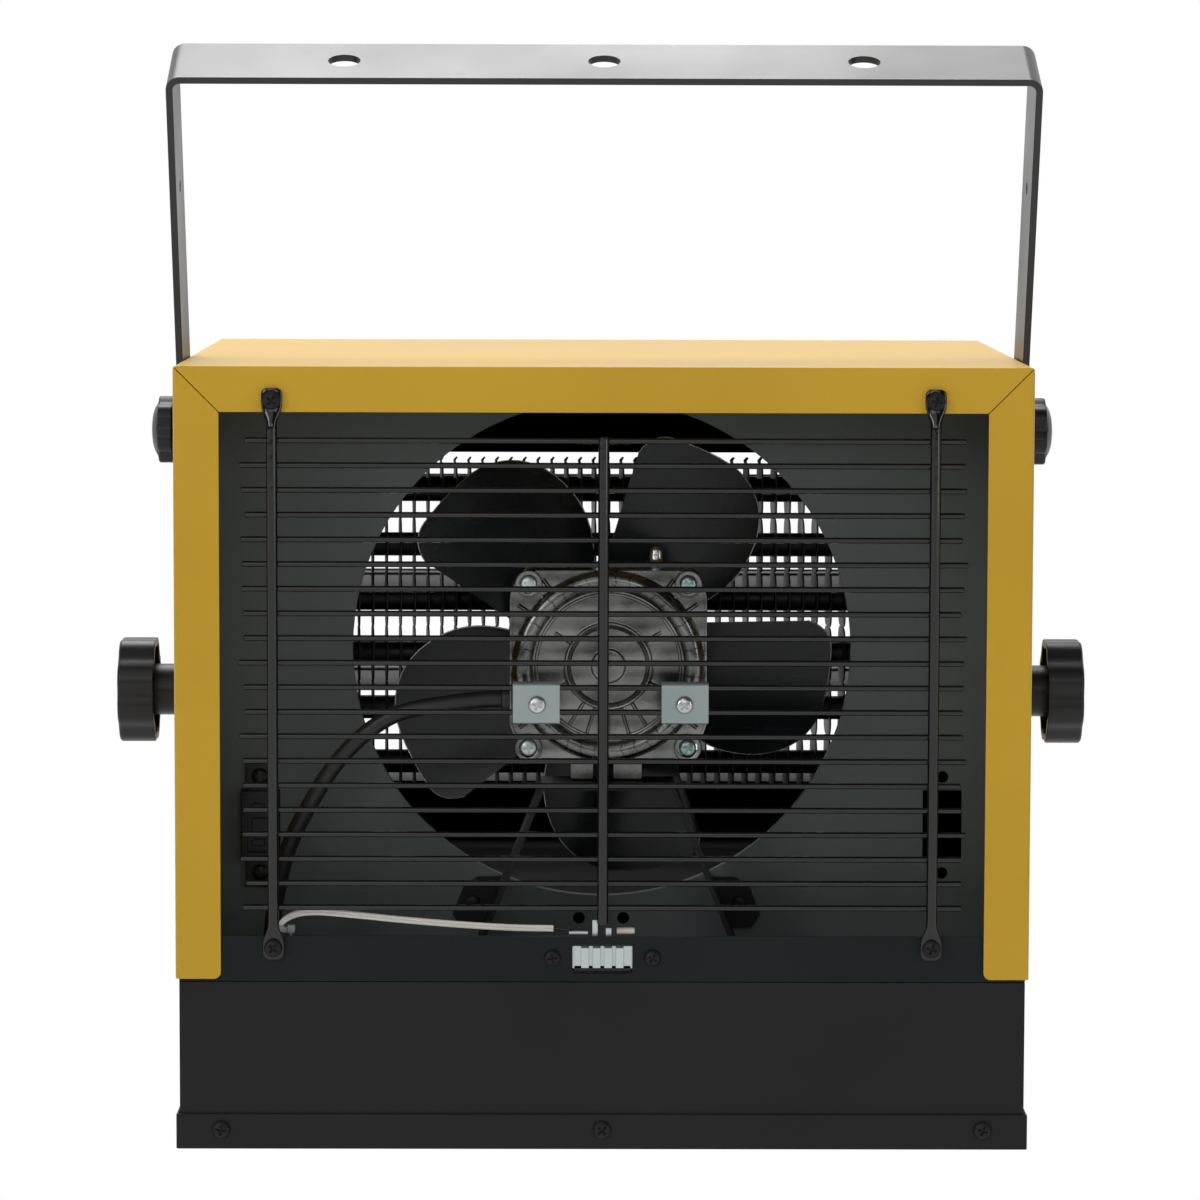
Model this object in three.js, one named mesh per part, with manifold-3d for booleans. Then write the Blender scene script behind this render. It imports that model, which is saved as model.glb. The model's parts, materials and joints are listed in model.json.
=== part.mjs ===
// Ceiling mounted fan heater: a sheet steel casing that hangs in a U-shaped ceiling bracket.
// Millimetres. +Z is up, the air intake with its wire guard faces -Y and the outlet faces +Y.
// The casing is drawn with its rear face at y = 0 and the hood's lower edge at z = 0; the whole
// model is then moved so that the middle of the ceiling plate's top face lies at the origin.

import * as THREE from 'three';
import { mergeVertices } from 'three/addons/utils/BufferGeometryUtils.js';
import Module from 'manifold-3d';

const wasm = await Module();
wasm.setup();

// ---------------------------------------------------------------- driving sizes

const gap = 0.3; // clearance between pieces that seat on or pass through one another
const sheet = 1.2; // casing sheet thickness

const hood = { width: 370, height: 265.6, depth: 288, edgeRadius: 2.4, rearReturn: 19.7, frontReturn: 14,
  returnRadius: 3 };
const base = { drop: 74.7, shadowGap: 1.4, rim: 16, lipHeight: 15.4 };
const rail = { height: 18.7, sideHeight: 12, windowWidth: 26, windowHeight: 12.6, windowLow: 2.4 };

const partition = { y: 88, flange: 12, holeOver: 18.8, holeUnder: 23.2, collar: 5, cutWidth: 17.6,
  cutHeight: 31.6, cutInset: 31.5, cutZ: 55.5, screwRise: 21.8, screwHole: 2.4, spareX: 10, spareZ: 13 };
const fanAxis = { x: 2.4, z: -1 }; // motor and fan axis, from the middle of the partition's hole

const duct = { inset: 47, low: 21.6, topInset: 17.2, wall: 1 };
const outlet = { inset: 51, low: 47.5, topInset: 54.6, turnBack: 2.5 };
const louver = { count: 4, topInset: 68.9, lowest: 57.5, pivotInset: 23, chord: 44, rise: 3, thickness: 1.3,
  tilt: 6, hemRadius: 1.6, spineRadius: 2.6, pinRadius: 2, sideGap: 1.5 };

const element = { y: 180, topInset: 65.6, lowest: 72.5, hairpins: 3, tubeRadius: 5.5, finRoot: 6.2,
  finRadius: 12.2, finsPerRun: 9, finMargin: 9, bendMargin: 8, coldMargin: 10, ceramicRadius: 4,
  ceramicLength: 8, studRadius: 2, studLength: 9 };

const guard = { wires: 20, lowest: 31.4, topInset: 31.8, wireRadius: 1.25, wireInset: 28.5, rodRadius: 2.4,
  rodInset: 42.6, eyeInset: 14.5, eyeLow: 14.1, eyeWidth: 9, eyeThickness: 2.2, eyeLength: 14, eyeHole: 2.3,
  bite: 0.5, centreOver: 2, centreUnder: 7 };
const screw = { headRadius: 4, headHeight: 2.2, shankRadius: 2, length: 8 };
const coverScrew = { inset: 19.5, rise: 8.7 };

const motor = { width: 86, height: 83.4, rearY: 22, shieldDepth: 24, statorDepth: 14, frontDepth: 17,
  wall: 3.2, cornerRadius: 13, chamferWidth: 14, chamferHeight: 16, faceDrop: 4, screwInX: 8.2,
  screwInZ: 5.8, ringOuter: 41, ringInner: 33, bossRadius: 18.3, capRadius: 7.7, ribs: 12, postWall: 3,
  footX: 15, footHalf: 6, footDrop: 13.3 };
const bearing = { radius: 11, width: 7, seat: 5, cupWall: 3, endWall: 1.6 };
const shaft = { radius: 4, rotorRadius: 24, past: 4 };
const throughBolt = { radius: 2, headRadius: 4.2, headHeight: 2.6 };
const windings = { slots: 6, slotRadius: 3.4, slotCentre: 29.5 };

const fan = { radius: 100, blades: 5, phase: 59, y: 93, pitchAngle: 22, camber: 3, thickness: 1.2,
  hubRadius: 27, hubThickness: 1.6, bossRadius: 9, bossLength: 16, rootRadius: 20, leadRoot: 18,
  leadTip: 34.5, leadRound: 14, belly: -34, trailRoot: -8, gripLength: 22, gripWidth: 12, gripDepth: 7 };
const fanNut = { radius: 7, height: 5 };

const cradle = { y: 42, webBack: 76, thickness: 2, seatHalf: 29.5, footHalf: 60, tabWidth: 16, tabLow: 9,
  tabHigh: 32 };
const clip = { width: 20.8, height: 18.4, depth: 5, thickness: 1, drop: 16.1, left: -31.5, right: 33.8 };

const pivot = { y: 150, z: 109.5 };
const bracket = { tilt: 22.3, reach: 310, width: 40, thickness: 3, sideGap: 0.5, bendRadius: 6,
  holePitch: 112.5, holeRadius: 7, lockReach: 133, wireHoleReach: 251, wireHoleRadius: 2.8 };
const clampKnob = { radius: 24.5, lobes: 8, lobeDepth: 1.8, thickness: 16.5, hubRadius: 11.8, hubLength: 16,
  rim: 3.2, hollow: 9, edge: 2, studRadius: 4, nutRadius: 7.5, nutLength: 6.5 };
const starKnob = { radius: 15, lobes: 6, lobeDepth: 2.2, thickness: 10, skirtRadius: 9, skirt: 3.2,
  studRadius: 3 };

const cable = { radius: 3.75, dropInset: 38, dropY: 60, grommetRadius: 8, grommetHeight: 4, lip: 1.5 };
const lead = { width: 3.2, thickness: 1.6, tieInner: 3, tieOuter: 4.2, tieHalf: 1.3, headWidth: 3.2,
  headDepth: 4, headHeight: 3.8 };
const connector = { earHalf: 6.5, earRound: 3, plate: 1.6, rear: 6, reach: 16, outerWall: 3, innerWall: 2,
  floor: 4, bridgeHalf: 3, hookRoom: 5 };
const cutout = { screwX: 21.7, screwRadius: 1.6, stripHalf: 5, stripThickness: 0.8, bodyHalf: 10, depth: 9,
  tabPitch: 5, tabHalf: 1.6, tabRise: 4.6, neckLeft: 12, neckRight: 19, neckTop: 22.4 };
const control = { x: 80, z: -37, shaftRadius: 3, bodyWidth: 32, bodyDepth: 26, switchWidth: 28,
  switchDepth: 30, knobRadius: 17, knobLength: 17, skirtRadius: 20, gripHalf: 4, lift: 0.4 };
const inlet = { y: 230, z: -35, radius: 11, throat: 6.5, flange: 3, reach: 4 };
const block = { length: 60, width: 26, height: 27, ways: 5, wall: 4, web: 2, slotDepth: 9 };

// ---------------------------------------------------------------- positions that follow from the sizes

const halfWidth = hood.width / 2;
const innerHalf = halfWidth - sheet - gap;
const plateTop = hood.height - sheet - gap;
const rearPlane = sheet + gap;
const railBack = rearPlane + sheet;
const frontPlane = hood.depth - sheet - gap;
const ductFront = frontPlane - sheet - gap;
const floorLow = -base.shadowGap + gap;
const floorTop = floorLow + sheet;
const armInner = halfWidth + bracket.sideGap;
const armOuter = armInner + bracket.thickness;

const ductHalf = halfWidth - duct.inset;
const outletHalf = halfWidth - outlet.inset;
const holeRadius = (hood.height - partition.holeOver - partition.holeUnder) / 2;
const holeZ = partition.holeUnder + holeRadius;
const axis = { x: fanAxis.x, z: holeZ + fanAxis.z };
const cutX = halfWidth - partition.cutInset;
const rodX = halfWidth - guard.rodInset;
const wireHalfLength = halfWidth - guard.wireInset;
const eyeHigh = hood.height - guard.eyeInset;
const coverScrewZ = -base.drop + coverScrew.rise;
const cutoutZ = rail.height / 2;

const motorTop = axis.z + motor.height / 2;
const motorBottom = axis.z - motor.height / 2;
const motorFace = motor.rearY + motor.faceDrop;
const statorRear = motor.rearY + motor.shieldDepth + gap;
const frontShieldRear = statorRear + motor.statorDepth + gap;
const motorFront = frontShieldRear + motor.frontDepth;
const bearingRear = motorFace + bearing.seat;
const bearingFront = motorFront - bearing.endWall - gap - bearing.width;
const seatZ = motorBottom - motor.footDrop;
const fanFace = fan.y - fan.hubThickness / 2;
const nutY = fanFace + fan.bossLength - 3 + gap;

const cableX = -halfWidth + cable.dropInset;
const leadX = -rodX + 0.9;
const blockY = cable.dropY + 32;
const louverY = ductFront - louver.pivotInset;

const spread = (count, lowest, highest) => Array.from({ length: count }, (_, i) => (
  highest - (i * (highest - lowest)) / (count - 1)));
const wireHeights = spread(guard.wires, guard.lowest, hood.height - guard.topInset);
const runHeights = spread(2 * element.hairpins, element.lowest, hood.height - element.topInset);
const louverHeights = spread(louver.count, louver.lowest, hood.height - louver.topInset);
const coverScrewXs = [-1, 0, 1].map((step) => step * (halfWidth - coverScrew.inset));
const boltSpots = [[-1, 1], [1, 1], [-1, -1], [1, -1]].map(([i, k]) => (
  [axis.x + i * (motor.width / 2 - motor.screwInX), axis.z + k * (motor.height / 2 - motor.screwInZ)]));

const finish = {
  yellowPaint: { color: 0xe2b322, roughness: 0.5, metalness: 0 },
  blackPaint: { color: 0x232425, roughness: 0.5, metalness: 0 },
  greyPaint: { color: 0x3c4444, roughness: 0.55, metalness: 0 },
  blackWire: { color: 0x141516, roughness: 0.3, metalness: 0 },
  blackPlastic: { color: 0x17181a, roughness: 0.42, metalness: 0 },
  castMetal: { color: 0x9a9a96, roughness: 0.42, metalness: 1 },
  zinc: { color: 0xb4bcbb, roughness: 0.35, metalness: 1 },
  steel: { color: 0xa8aaa8, roughness: 0.3, metalness: 1 },
  bladeMetal: { color: 0x4a4c4b, roughness: 0.35, metalness: 0.9 },
  elementBlack: { color: 0x191a1a, roughness: 0.6, metalness: 0.2 },
  laminations: { color: 0x6b6e70, roughness: 0.5, metalness: 0.9 },
  whiteWire: { color: 0xd8d5cc, roughness: 0.6, metalness: 0 },
  ceramic: { color: 0xc9c3b4, roughness: 0.6, metalness: 0 },
  rubber: { color: 0x1b1b1b, roughness: 0.8, metalness: 0 },
};

// ---------------------------------------------------------------- solids

// A closed geometry as a solid: corners shared, slivers dropped and faces turned outwards.
function solid(geometry) {
  const bare = geometry.index ? geometry.toNonIndexed() : geometry.clone();
  bare.deleteAttribute('normal');
  bare.deleteAttribute('uv');
  const merged = mergeVertices(bare, 1e-4);
  const place = merged.attributes.position;
  const corners = [];
  const [a, b, c] = [new THREE.Vector3(), new THREE.Vector3(), new THREE.Vector3()];
  let volume = 0;
  for (let i = 0; i < merged.index.count; i += 3) {
    const [p, q, r] = [0, 1, 2].map((k) => merged.index.getX(i + k));
    if (p === q || q === r || r === p) continue;
    corners.push(p, q, r);
    a.fromBufferAttribute(place, p);
    b.fromBufferAttribute(place, q);
    c.fromBufferAttribute(place, r);
    volume += a.dot(b.cross(c));
  }
  if (volume < 0) corners.reverse();
  return new wasm.Manifold(new wasm.Mesh({
    numProp: 3,
    vertProperties: new Float32Array(place.array),
    triVerts: new Uint32Array(corners),
  }));
}

const join = (...bodies) => bodies.flat().reduce((whole, body) => whole.add(body));
const cut = (body, ...tools) => tools.flat().reduce((rest, tool) => rest.subtract(tool), body);

function block3(x0, x1, y0, y1, z0, z1) {
  const box = new THREE.BoxGeometry(x1 - x0, y1 - y0, z1 - z0);
  return solid(box.translate((x0 + x1) / 2, (y0 + y1) / 2, (z0 + z1) / 2));
}

// Turns a geometry drawn about or along its own axis to lie along X, Y or Z.
function turned(geometry, from, to) {
  const turn = new THREE.Quaternion().setFromUnitVectors(from, to);
  return geometry.applyQuaternion(turn);
}

const along = Object.fromEntries([['x', 1, 0, 0], ['y', 0, 1, 0], ['z', 0, 0, 1]].map(([name, ...way]) => (
  [name, new THREE.Vector3(...way)])));

// A round bar between two points.
function bar(radius, from, to, sides = 12) {
  const start = new THREE.Vector3(...from);
  const reach = new THREE.Vector3(...to).sub(start);
  const round = new THREE.CylinderGeometry(radius, radius, reach.length(), sides);
  turned(round, along.y, reach.clone().normalize());
  return solid(round.translate(...start.addScaledVector(reach, 0.5)));
}

// A round hole whose flats, not its corners, lie at the radius.
const bore = (radius, from, to, sides = 10) => bar(radius / Math.cos(Math.PI / sides), from, to, sides);

// A profile of [radius, height] pairs turned about an axis through a point, height along the axis.
function revolve(profile, direction, at = [0, 0, 0], sides = 24) {
  const points = profile.map(([r, h]) => new THREE.Vector2(r, h));
  const spun = new THREE.LatheGeometry(points, sides);
  return solid(turned(spun, along.y, direction).translate(...at));
}

const ring = (outer, inner, low, high) => (
  [[inner, low], [outer, low], [outer, high], [inner, high], [inner, low]]);

function extrude(shape, depth, segments = 3) {
  return new THREE.ExtrudeGeometry(shape, { depth, bevelEnabled: false, curveSegments: segments });
}

// A shape drawn in x and z, extruded from y0 to y1.
function alongY(shape, y0, y1, segments) {
  return solid(extrude(shape, y1 - y0, segments).rotateX(Math.PI / 2).translate(0, y1, 0));
}

// A shape drawn in y and z, extruded from x0 to x1.
function alongX(shape, x0, x1, segments) {
  const turn = new THREE.Matrix4().makeBasis(along.y, along.z, along.x);
  return solid(extrude(shape, x1 - x0, segments).applyMatrix4(turn).translate(x0, 0, 0));
}

// A shape drawn in x and y, extruded from z0 to z1.
function alongZ(shape, z0, z1, segments) {
  return solid(extrude(shape, z1 - z0, segments).translate(0, 0, z0));
}

function outline(points) {
  return new THREE.Shape(points.map(([u, v]) => new THREE.Vector2(u, v)));
}

function roundedBox(u0, u1, v0, v1, radius) {
  const shape = new THREE.Shape();
  shape.moveTo(u0 + radius, v0);
  shape.absarc(u1 - radius, v0 + radius, radius, -Math.PI / 2, 0);
  shape.absarc(u1 - radius, v1 - radius, radius, 0, Math.PI / 2);
  shape.absarc(u0 + radius, v1 - radius, radius, Math.PI / 2, Math.PI);
  shape.absarc(u0 + radius, v0 + radius, radius, Math.PI, 1.5 * Math.PI);
  return shape;
}

// A round or flat section carried along a smooth line through points.
function sweep(points, section, steps) {
  const line = new THREE.CatmullRomCurve3(points.map((p) => new THREE.Vector3(...p)), false, 'centripetal');
  return solid(new THREE.ExtrudeGeometry(section, { steps, extrudePath: line, curveSegments: 2 }));
}

function circleShape(radius, sides = 8) {
  const turn = (2 * Math.PI) / sides;
  return outline(Array.from({ length: sides }, (_, i) => (
    [radius * Math.cos(i * turn), radius * Math.sin(i * turn)])));
}

// A pan-head screw driven along +Y, its head's seat at the point.
function panScrew([x, y, z], size = screw) {
  const { headRadius: head, headHeight: high, shankRadius: shank, length } = size;
  const profile = [[0, -high], [head * 0.55, -high], [head * 0.9, -high * 0.62], [head, 0], [shank, 0],
    [shank, length], [0, length]];
  return revolve(profile, along.y, [x, y, z], 6);
}

// ---------------------------------------------------------------- casing

// An arch-shaped strip of sheet, open at the bottom.
function archOutline(half, height, radius, wall) {
  const inner = Math.max(radius - wall, 0.2);
  const shape = new THREE.Shape();
  shape.moveTo(half, 0);
  shape.absarc(half - radius, height - radius, radius, 0, Math.PI / 2);
  shape.absarc(-half + radius, height - radius, radius, Math.PI / 2, Math.PI);
  shape.lineTo(-half, 0);
  shape.lineTo(-half + wall, 0);
  shape.absarc(-half + wall + inner, height - wall - inner, inner, Math.PI, Math.PI / 2, true);
  shape.absarc(half - wall - inner, height - wall - inner, inner, Math.PI / 2, 0, true);
  shape.lineTo(half - wall, 0);
  return shape;
}

// The rear or front return: an arch as wide as the fold, with its lower corners rounded off.
function returnOutline(half, height, radius, width, corner) {
  const shape = new THREE.Shape();
  shape.moveTo(half, corner);
  shape.absarc(half - radius, height - radius, radius, 0, Math.PI / 2);
  shape.absarc(-half + radius, height - radius, radius, Math.PI / 2, Math.PI);
  shape.absarc(-half + corner, corner, corner, Math.PI, 1.5 * Math.PI);
  shape.absarc(-half + width - corner, corner, corner, 1.5 * Math.PI, 2 * Math.PI);
  shape.lineTo(-half + width, height - width);
  shape.lineTo(half - width, height - width);
  shape.absarc(half - width + corner, corner, corner, Math.PI, 1.5 * Math.PI);
  shape.absarc(half - corner, corner, corner, 1.5 * Math.PI, 2 * Math.PI);
  return shape;
}

// Round holes for screws driven along +Y through a sheet near the rear face.
function screwHoles(spots, shankRadius, y0, y1) {
  return spots.map(([x, z]) => bore(shankRadius + gap, [x, y0, z], [x, y1, z], 6));
}

function hoodShell() {
  const { height, depth, edgeRadius, rearReturn, frontReturn, returnRadius } = hood;
  const wrap = alongY(archOutline(halfWidth, height, edgeRadius, sheet), 0, depth, 2);
  const rear = returnOutline(halfWidth, height, edgeRadius, rearReturn, returnRadius);
  const front = returnOutline(halfWidth, height, edgeRadius, frontReturn, returnRadius);
  const shell = join(wrap, alongY(rear, 0, sheet, 2), alongY(front, depth - sheet, depth, 2));
  const studHole = bore(clampKnob.studRadius + gap, [-hood.width, pivot.y, pivot.z],
    [hood.width, pivot.y, pivot.z]);
  return cut(shell, studHole,
    screwHoles([[-rodX, eyeHigh], [rodX, eyeHigh]], screw.shankRadius, -1, 2 * sheet));
}

function chassisTray() {
  const floor = block3(-innerHalf, innerHalf, rearPlane, ductFront, floorLow, floorTop);
  const rearRail = block3(-innerHalf, innerHalf, rearPlane, railBack, floorLow, rail.height);
  const frontRail = block3(-innerHalf, innerHalf, ductFront - sheet, ductFront, floorLow, rail.sideHeight);
  const sides = [-innerHalf, innerHalf - sheet].map((x) => (
    block3(x, x + sheet, rearPlane, ductFront, floorLow, rail.sideHeight)));
  const window = roundedBox(-rail.windowWidth / 2, rail.windowWidth / 2, rail.windowLow,
    rail.windowLow + rail.windowHeight, 1.2);
  const eyeHoles = screwHoles([[-rodX, guard.eyeLow], [rodX, guard.eyeLow]], screw.shankRadius,
    0, 2 * railBack);
  const cutoutHoles = screwHoles([[-cutout.screwX, cutoutZ], [cutout.screwX, cutoutZ]], cutout.screwRadius,
    0, 2 * railBack);
  const cableHole = bore(cable.grommetRadius - cable.lip, [cableX, cable.dropY, floorLow - 1],
    [cableX, cable.dropY, floorTop + 1], 12);
  return cut(join(floor, rearRail, frontRail, sides), alongY(window, 0, 2 * railBack), eyeHoles, cutoutHoles,
    cableHole);
}

function baseHousing() {
  const low = -base.drop + sheet + gap;
  const high = -base.shadowGap;
  const outer = block3(-innerHalf, innerHalf, rearPlane, frontPlane, low, high);
  const inner = block3(-innerHalf + sheet, innerHalf - sheet, railBack, frontPlane - sheet,
    low - 1, high - sheet);
  const mouth = block3(-innerHalf + base.rim, innerHalf - base.rim, rearPlane + base.rim,
    frontPlane - base.rim, low, high + 1);
  const shaftHoles = [-control.x, control.x].map((x) => bore(control.shaftRadius + 4 * gap,
    [x, frontPlane - 2 * sheet, control.z], [x, frontPlane + 1, control.z], 8));
  const inletHole = bore(inlet.radius, [innerHalf - 2 * sheet, inlet.y, inlet.z],
    [innerHalf + 1, inlet.y, inlet.z], 12);
  const lipHoles = screwHoles(coverScrewXs.map((x) => [x, coverScrewZ]), screw.shankRadius, 0, 2 * railBack);
  return cut(outer, inner, mouth, shaftHoles, inletHole, lipHoles);
}

function bottomCover() {
  const low = -base.drop;
  const high = low + base.lipHeight;
  const tray = block3(-halfWidth, halfWidth, 0, hood.depth, low, high);
  const hollow = block3(-halfWidth + sheet, halfWidth - sheet, sheet, hood.depth - sheet,
    low + sheet, high + 1);
  const lipHoles = screwHoles(coverScrewXs.map((x) => [x, coverScrewZ]), screw.shankRadius, -1, 2 * sheet);
  return cut(tray, hollow, lipHoles);
}

// A plate across the inside of the hood, its upper corners cut clear of the bends.
function innerPlate(y0, y1, low) {
  const corner = hood.edgeRadius;
  const right = [[innerHalf, low], [innerHalf, plateTop - corner], [innerHalf - corner, plateTop]];
  const left = right.map(([x, z]) => [-x, z]).reverse();
  return alongY(outline([...right, ...left]), y0, y1);
}

function fanPartition() {
  const { y, flange, collar, cutWidth, cutHeight, cutZ, screwRise, screwHole, spareX, spareZ } = partition;
  const foldLow = rail.sideHeight + gap;
  const plate = innerPlate(y, y + sheet, floorTop + gap);
  const folds = [-innerHalf, innerHalf - sheet].map((x) => (
    block3(x, x + sheet, y, y + flange, foldLow, plateTop - hood.edgeRadius)));
  const lip = revolve(ring(holeRadius + sheet, holeRadius, 0, collar), along.y, [0, y, holeZ], 24);
  const throat = bore(holeRadius, [0, y - 1, holeZ], [0, y + 2 * sheet, holeZ], 24);
  const windows = [-cutX, cutX].map((x) => block3(x - cutWidth / 2, x + cutWidth / 2, y - 1, y + 2 * sheet,
    cutZ - cutHeight / 2, cutZ + cutHeight / 2));
  const spots = [-cutX, cutX].flatMap((x) => [[x, cutZ - screwRise], [x, cutZ + screwRise]]);
  spots.push([-spareX, spareZ], [spareX, spareZ]);
  const notch = sheet + gap;
  const corners = [-innerHalf - 1, innerHalf - notch].map((x) => (
    block3(x, x + notch + 1, y - 1, y + flange + 1, floorLow, foldLow)));
  return cut(join(cut(plate, throat), folds, lip), windows, corners,
    screwHoles(spots, screwHole, y - 1, y + 2 * sheet));
}

// The outlet's frame, its opening folded back at the top and bottom.
function frontPanel() {
  const { low, turnBack } = outlet;
  const high = hood.height - outlet.topInset;
  const back = frontPlane - sheet;
  const plate = innerPlate(back, frontPlane, floorLow);
  const mouth = block3(-outletHalf, outletHalf, back - 1, frontPlane + 1, low, high);
  const folds = [low - sheet, high].map((z) => block3(-outletHalf - sheet, outletHalf + sheet,
    back - turnBack, frontPlane - sheet / 2, z, z + sheet));
  return join(cut(plate, mouth), folds);
}

function airDuct() {
  const { low, wall } = duct;
  const high = hood.height - duct.topInset;
  const rear = partition.y + sheet + gap;
  const front = ductFront - gap;
  const outer = block3(-ductHalf - wall, ductHalf + wall, rear, front, low - wall, high + wall);
  const inner = block3(-ductHalf, ductHalf, rear - 1, front + 1, low, high);
  const through = (radius, y, z, sides = 6) => (
    bore(radius + gap, [-halfWidth, y, z], [halfWidth, y, z], sides));
  const runHoles = runHeights.map((z) => through(element.tubeRadius, element.y, z));
  const pinHoles = louverHeights.map((z) => through(louver.pinRadius, louverY, z, 5));
  return cut(outer, inner, runHoles, pinHoles);
}

// ---------------------------------------------------------------- rear guard

// An outer rod: a round bar whose ends are hammered flat and pierced for the screws.
function guardRod(x) {
  const { rodRadius, eyeLow, eyeWidth, eyeThickness, eyeLength, eyeHole } = guard;
  const y = -gap - rodRadius;
  const half = eyeWidth / 2;
  const rod = bar(rodRadius, [x, y, eyeLow + eyeLength * 0.7], [x, y, eyeHigh - eyeLength * 0.7], 6);
  const eyes = [[eyeLow, 1], [eyeHigh, -1]].map(([z, inward]) => {
    const disc = new THREE.Shape();
    disc.absarc(x, z, half, 0, 2 * Math.PI);
    const neck = outline([[x - half, z], [x + half, z], [x + rodRadius, z + inward * eyeLength],
      [x - rodRadius, z + inward * eyeLength]]);
    const flat = join(alongY(disc, -gap - eyeThickness, -gap, 5), alongY(neck, -gap - eyeThickness, -gap));
    return cut(flat, bore(eyeHole, [x, -2 * eyeThickness, z], [x, eyeThickness, z], 8));
  });
  return join(rod, eyes);
}

function rearGuard() {
  const { wireRadius, rodRadius, bite, centreUnder, centreOver } = guard;
  const wireY = -gap + wireRadius - bite;
  const rodY = -gap - rodRadius;
  const wires = wireHeights.map((z) => (
    bar(wireRadius, [-wireHalfLength, wireY, z], [wireHalfLength, wireY, z], 4)));
  const centre = bar(rodRadius, [0, rodY, wireHeights.at(-1) - centreUnder],
    [0, rodY, wireHeights[0] + centreOver], 6);
  return join(centre, guardRod(-rodX), guardRod(rodX), wires);
}

// ---------------------------------------------------------------- motor

// The motor's outline: round upper corners, lower corners cut back.
function motorOutline(inset = 0) {
  const { width, cornerRadius, chamferWidth, chamferHeight } = motor;
  const half = width / 2 - inset;
  const low = motorBottom + inset;
  const high = motorTop - inset;
  const radius = cornerRadius - inset;
  const bulge = low + chamferHeight * 0.45;
  const shape = new THREE.Shape();
  shape.moveTo(axis.x + half - chamferWidth, low);
  shape.quadraticCurveTo(axis.x + half - 2, bulge, axis.x + half, low + chamferHeight);
  shape.absarc(axis.x + half - radius, high - radius, radius, 0, Math.PI / 2);
  shape.absarc(axis.x - half + radius, high - radius, radius, Math.PI / 2, Math.PI);
  shape.lineTo(axis.x - half, low + chamferHeight);
  shape.quadraticCurveTo(axis.x - half + 2, bulge, axis.x - half + chamferWidth, low);
  return shape;
}

const motorBlock = (y0, y1, inset) => alongY(motorOutline(inset), y0, y1, 2);
const boltHoles = () => boltSpots.map(([x, z]) => (
  bore(throughBolt.radius + gap, [x, motor.rearY, z], [x, motorFront - 2, z], 6)));
const boltPosts = (y0, y1) => boltSpots.map(([x, z]) => (
  bar(throughBolt.radius + motor.postWall, [x, y0, z], [x, y1, z], 6).intersect(motorBlock(y0, y1))));
const onAxis = (make, radius, y0, y1, sides) => (
  make(radius, [axis.x, y0, axis.z], [axis.x, y1, axis.z], sides));
const bearingCup = (y0, y1) => onAxis(bar, bearing.radius + bearing.cupWall, y0, y1, 12);
const bearingSeat = (y0, y1) => onAxis(bore, bearing.radius + gap, y0, y1, 12);

// The die-cast rear shield: a bossed dish with a crowned ring and short cooling ribs.
function motorRearShield() {
  const { rearY, ringOuter, ringInner, bossRadius, capRadius, ribs, wall } = motor;
  const front = statorRear - gap;
  const crown = (ringOuter + ringInner) / 2;
  const dish = revolve([[0, 2.4], [capRadius, 2.4], [capRadius + 1, 3.4], [bossRadius - 3, 3.4],
    [bossRadius, 1.6], [bossRadius + 1.5, 3.2], [ringInner, 3.2], [crown - 2, 0.4], [crown + 1, 0],
    [ringOuter, 2.4], [ringOuter, motor.faceDrop + 1], [0, motor.faceDrop + 1]], along.y,
  [axis.x, rearY, axis.z], 16);
  const rib = (from, to, rise, angle) => {
    const fin = new THREE.BoxGeometry(to - from, 2, 1).translate((from + to) / 2, rise, 0).rotateY(-angle);
    return solid(fin.translate(axis.x, rearY, axis.z));
  };
  const turn = (2 * Math.PI) / ribs;
  const ringRibs = Array.from({ length: ribs }, (_, i) => rib(ringInner + 0.5, ringOuter - 0.5, 1.3,
    (i + 0.5) * turn));
  const webRibs = Array.from({ length: ribs / 2 }, (_, i) => rib(bossRadius + 2, ringInner - 2, 3.7,
    (2 * i + 1) * turn));
  const hollow = motorBlock(bearingRear + bearing.width / 2, front + 1, wall);
  const cup = bearingCup(motorFace + 1, bearingRear + bearing.width);
  const shell = join(cut(motorBlock(motorFace, front), hollow), dish, ringRibs, webRibs, cup,
    boltPosts(motorFace, front));
  return cut(shell, bearingSeat(bearingRear, front + 1), boltHoles());
}

function motorStator() {
  const front = statorRear + motor.statorDepth;
  const tunnel = onAxis(bore, shaft.rotorRadius + 2 * gap, statorRear - 1, front + 1, 16);
  const { slots, slotRadius, slotCentre } = windings;
  const slotHoles = Array.from({ length: slots }, (_, i) => {
    const angle = ((i + 0.5) * 2 * Math.PI) / slots;
    const [x, z] = [axis.x + slotCentre * Math.cos(angle), axis.z + slotCentre * Math.sin(angle)];
    return bar(slotRadius, [x, statorRear - 1, z], [x, front + 1, z], 6);
  });
  return cut(motorBlock(statorRear, front, 0.6), tunnel, slotHoles, boltHoles());
}

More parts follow.
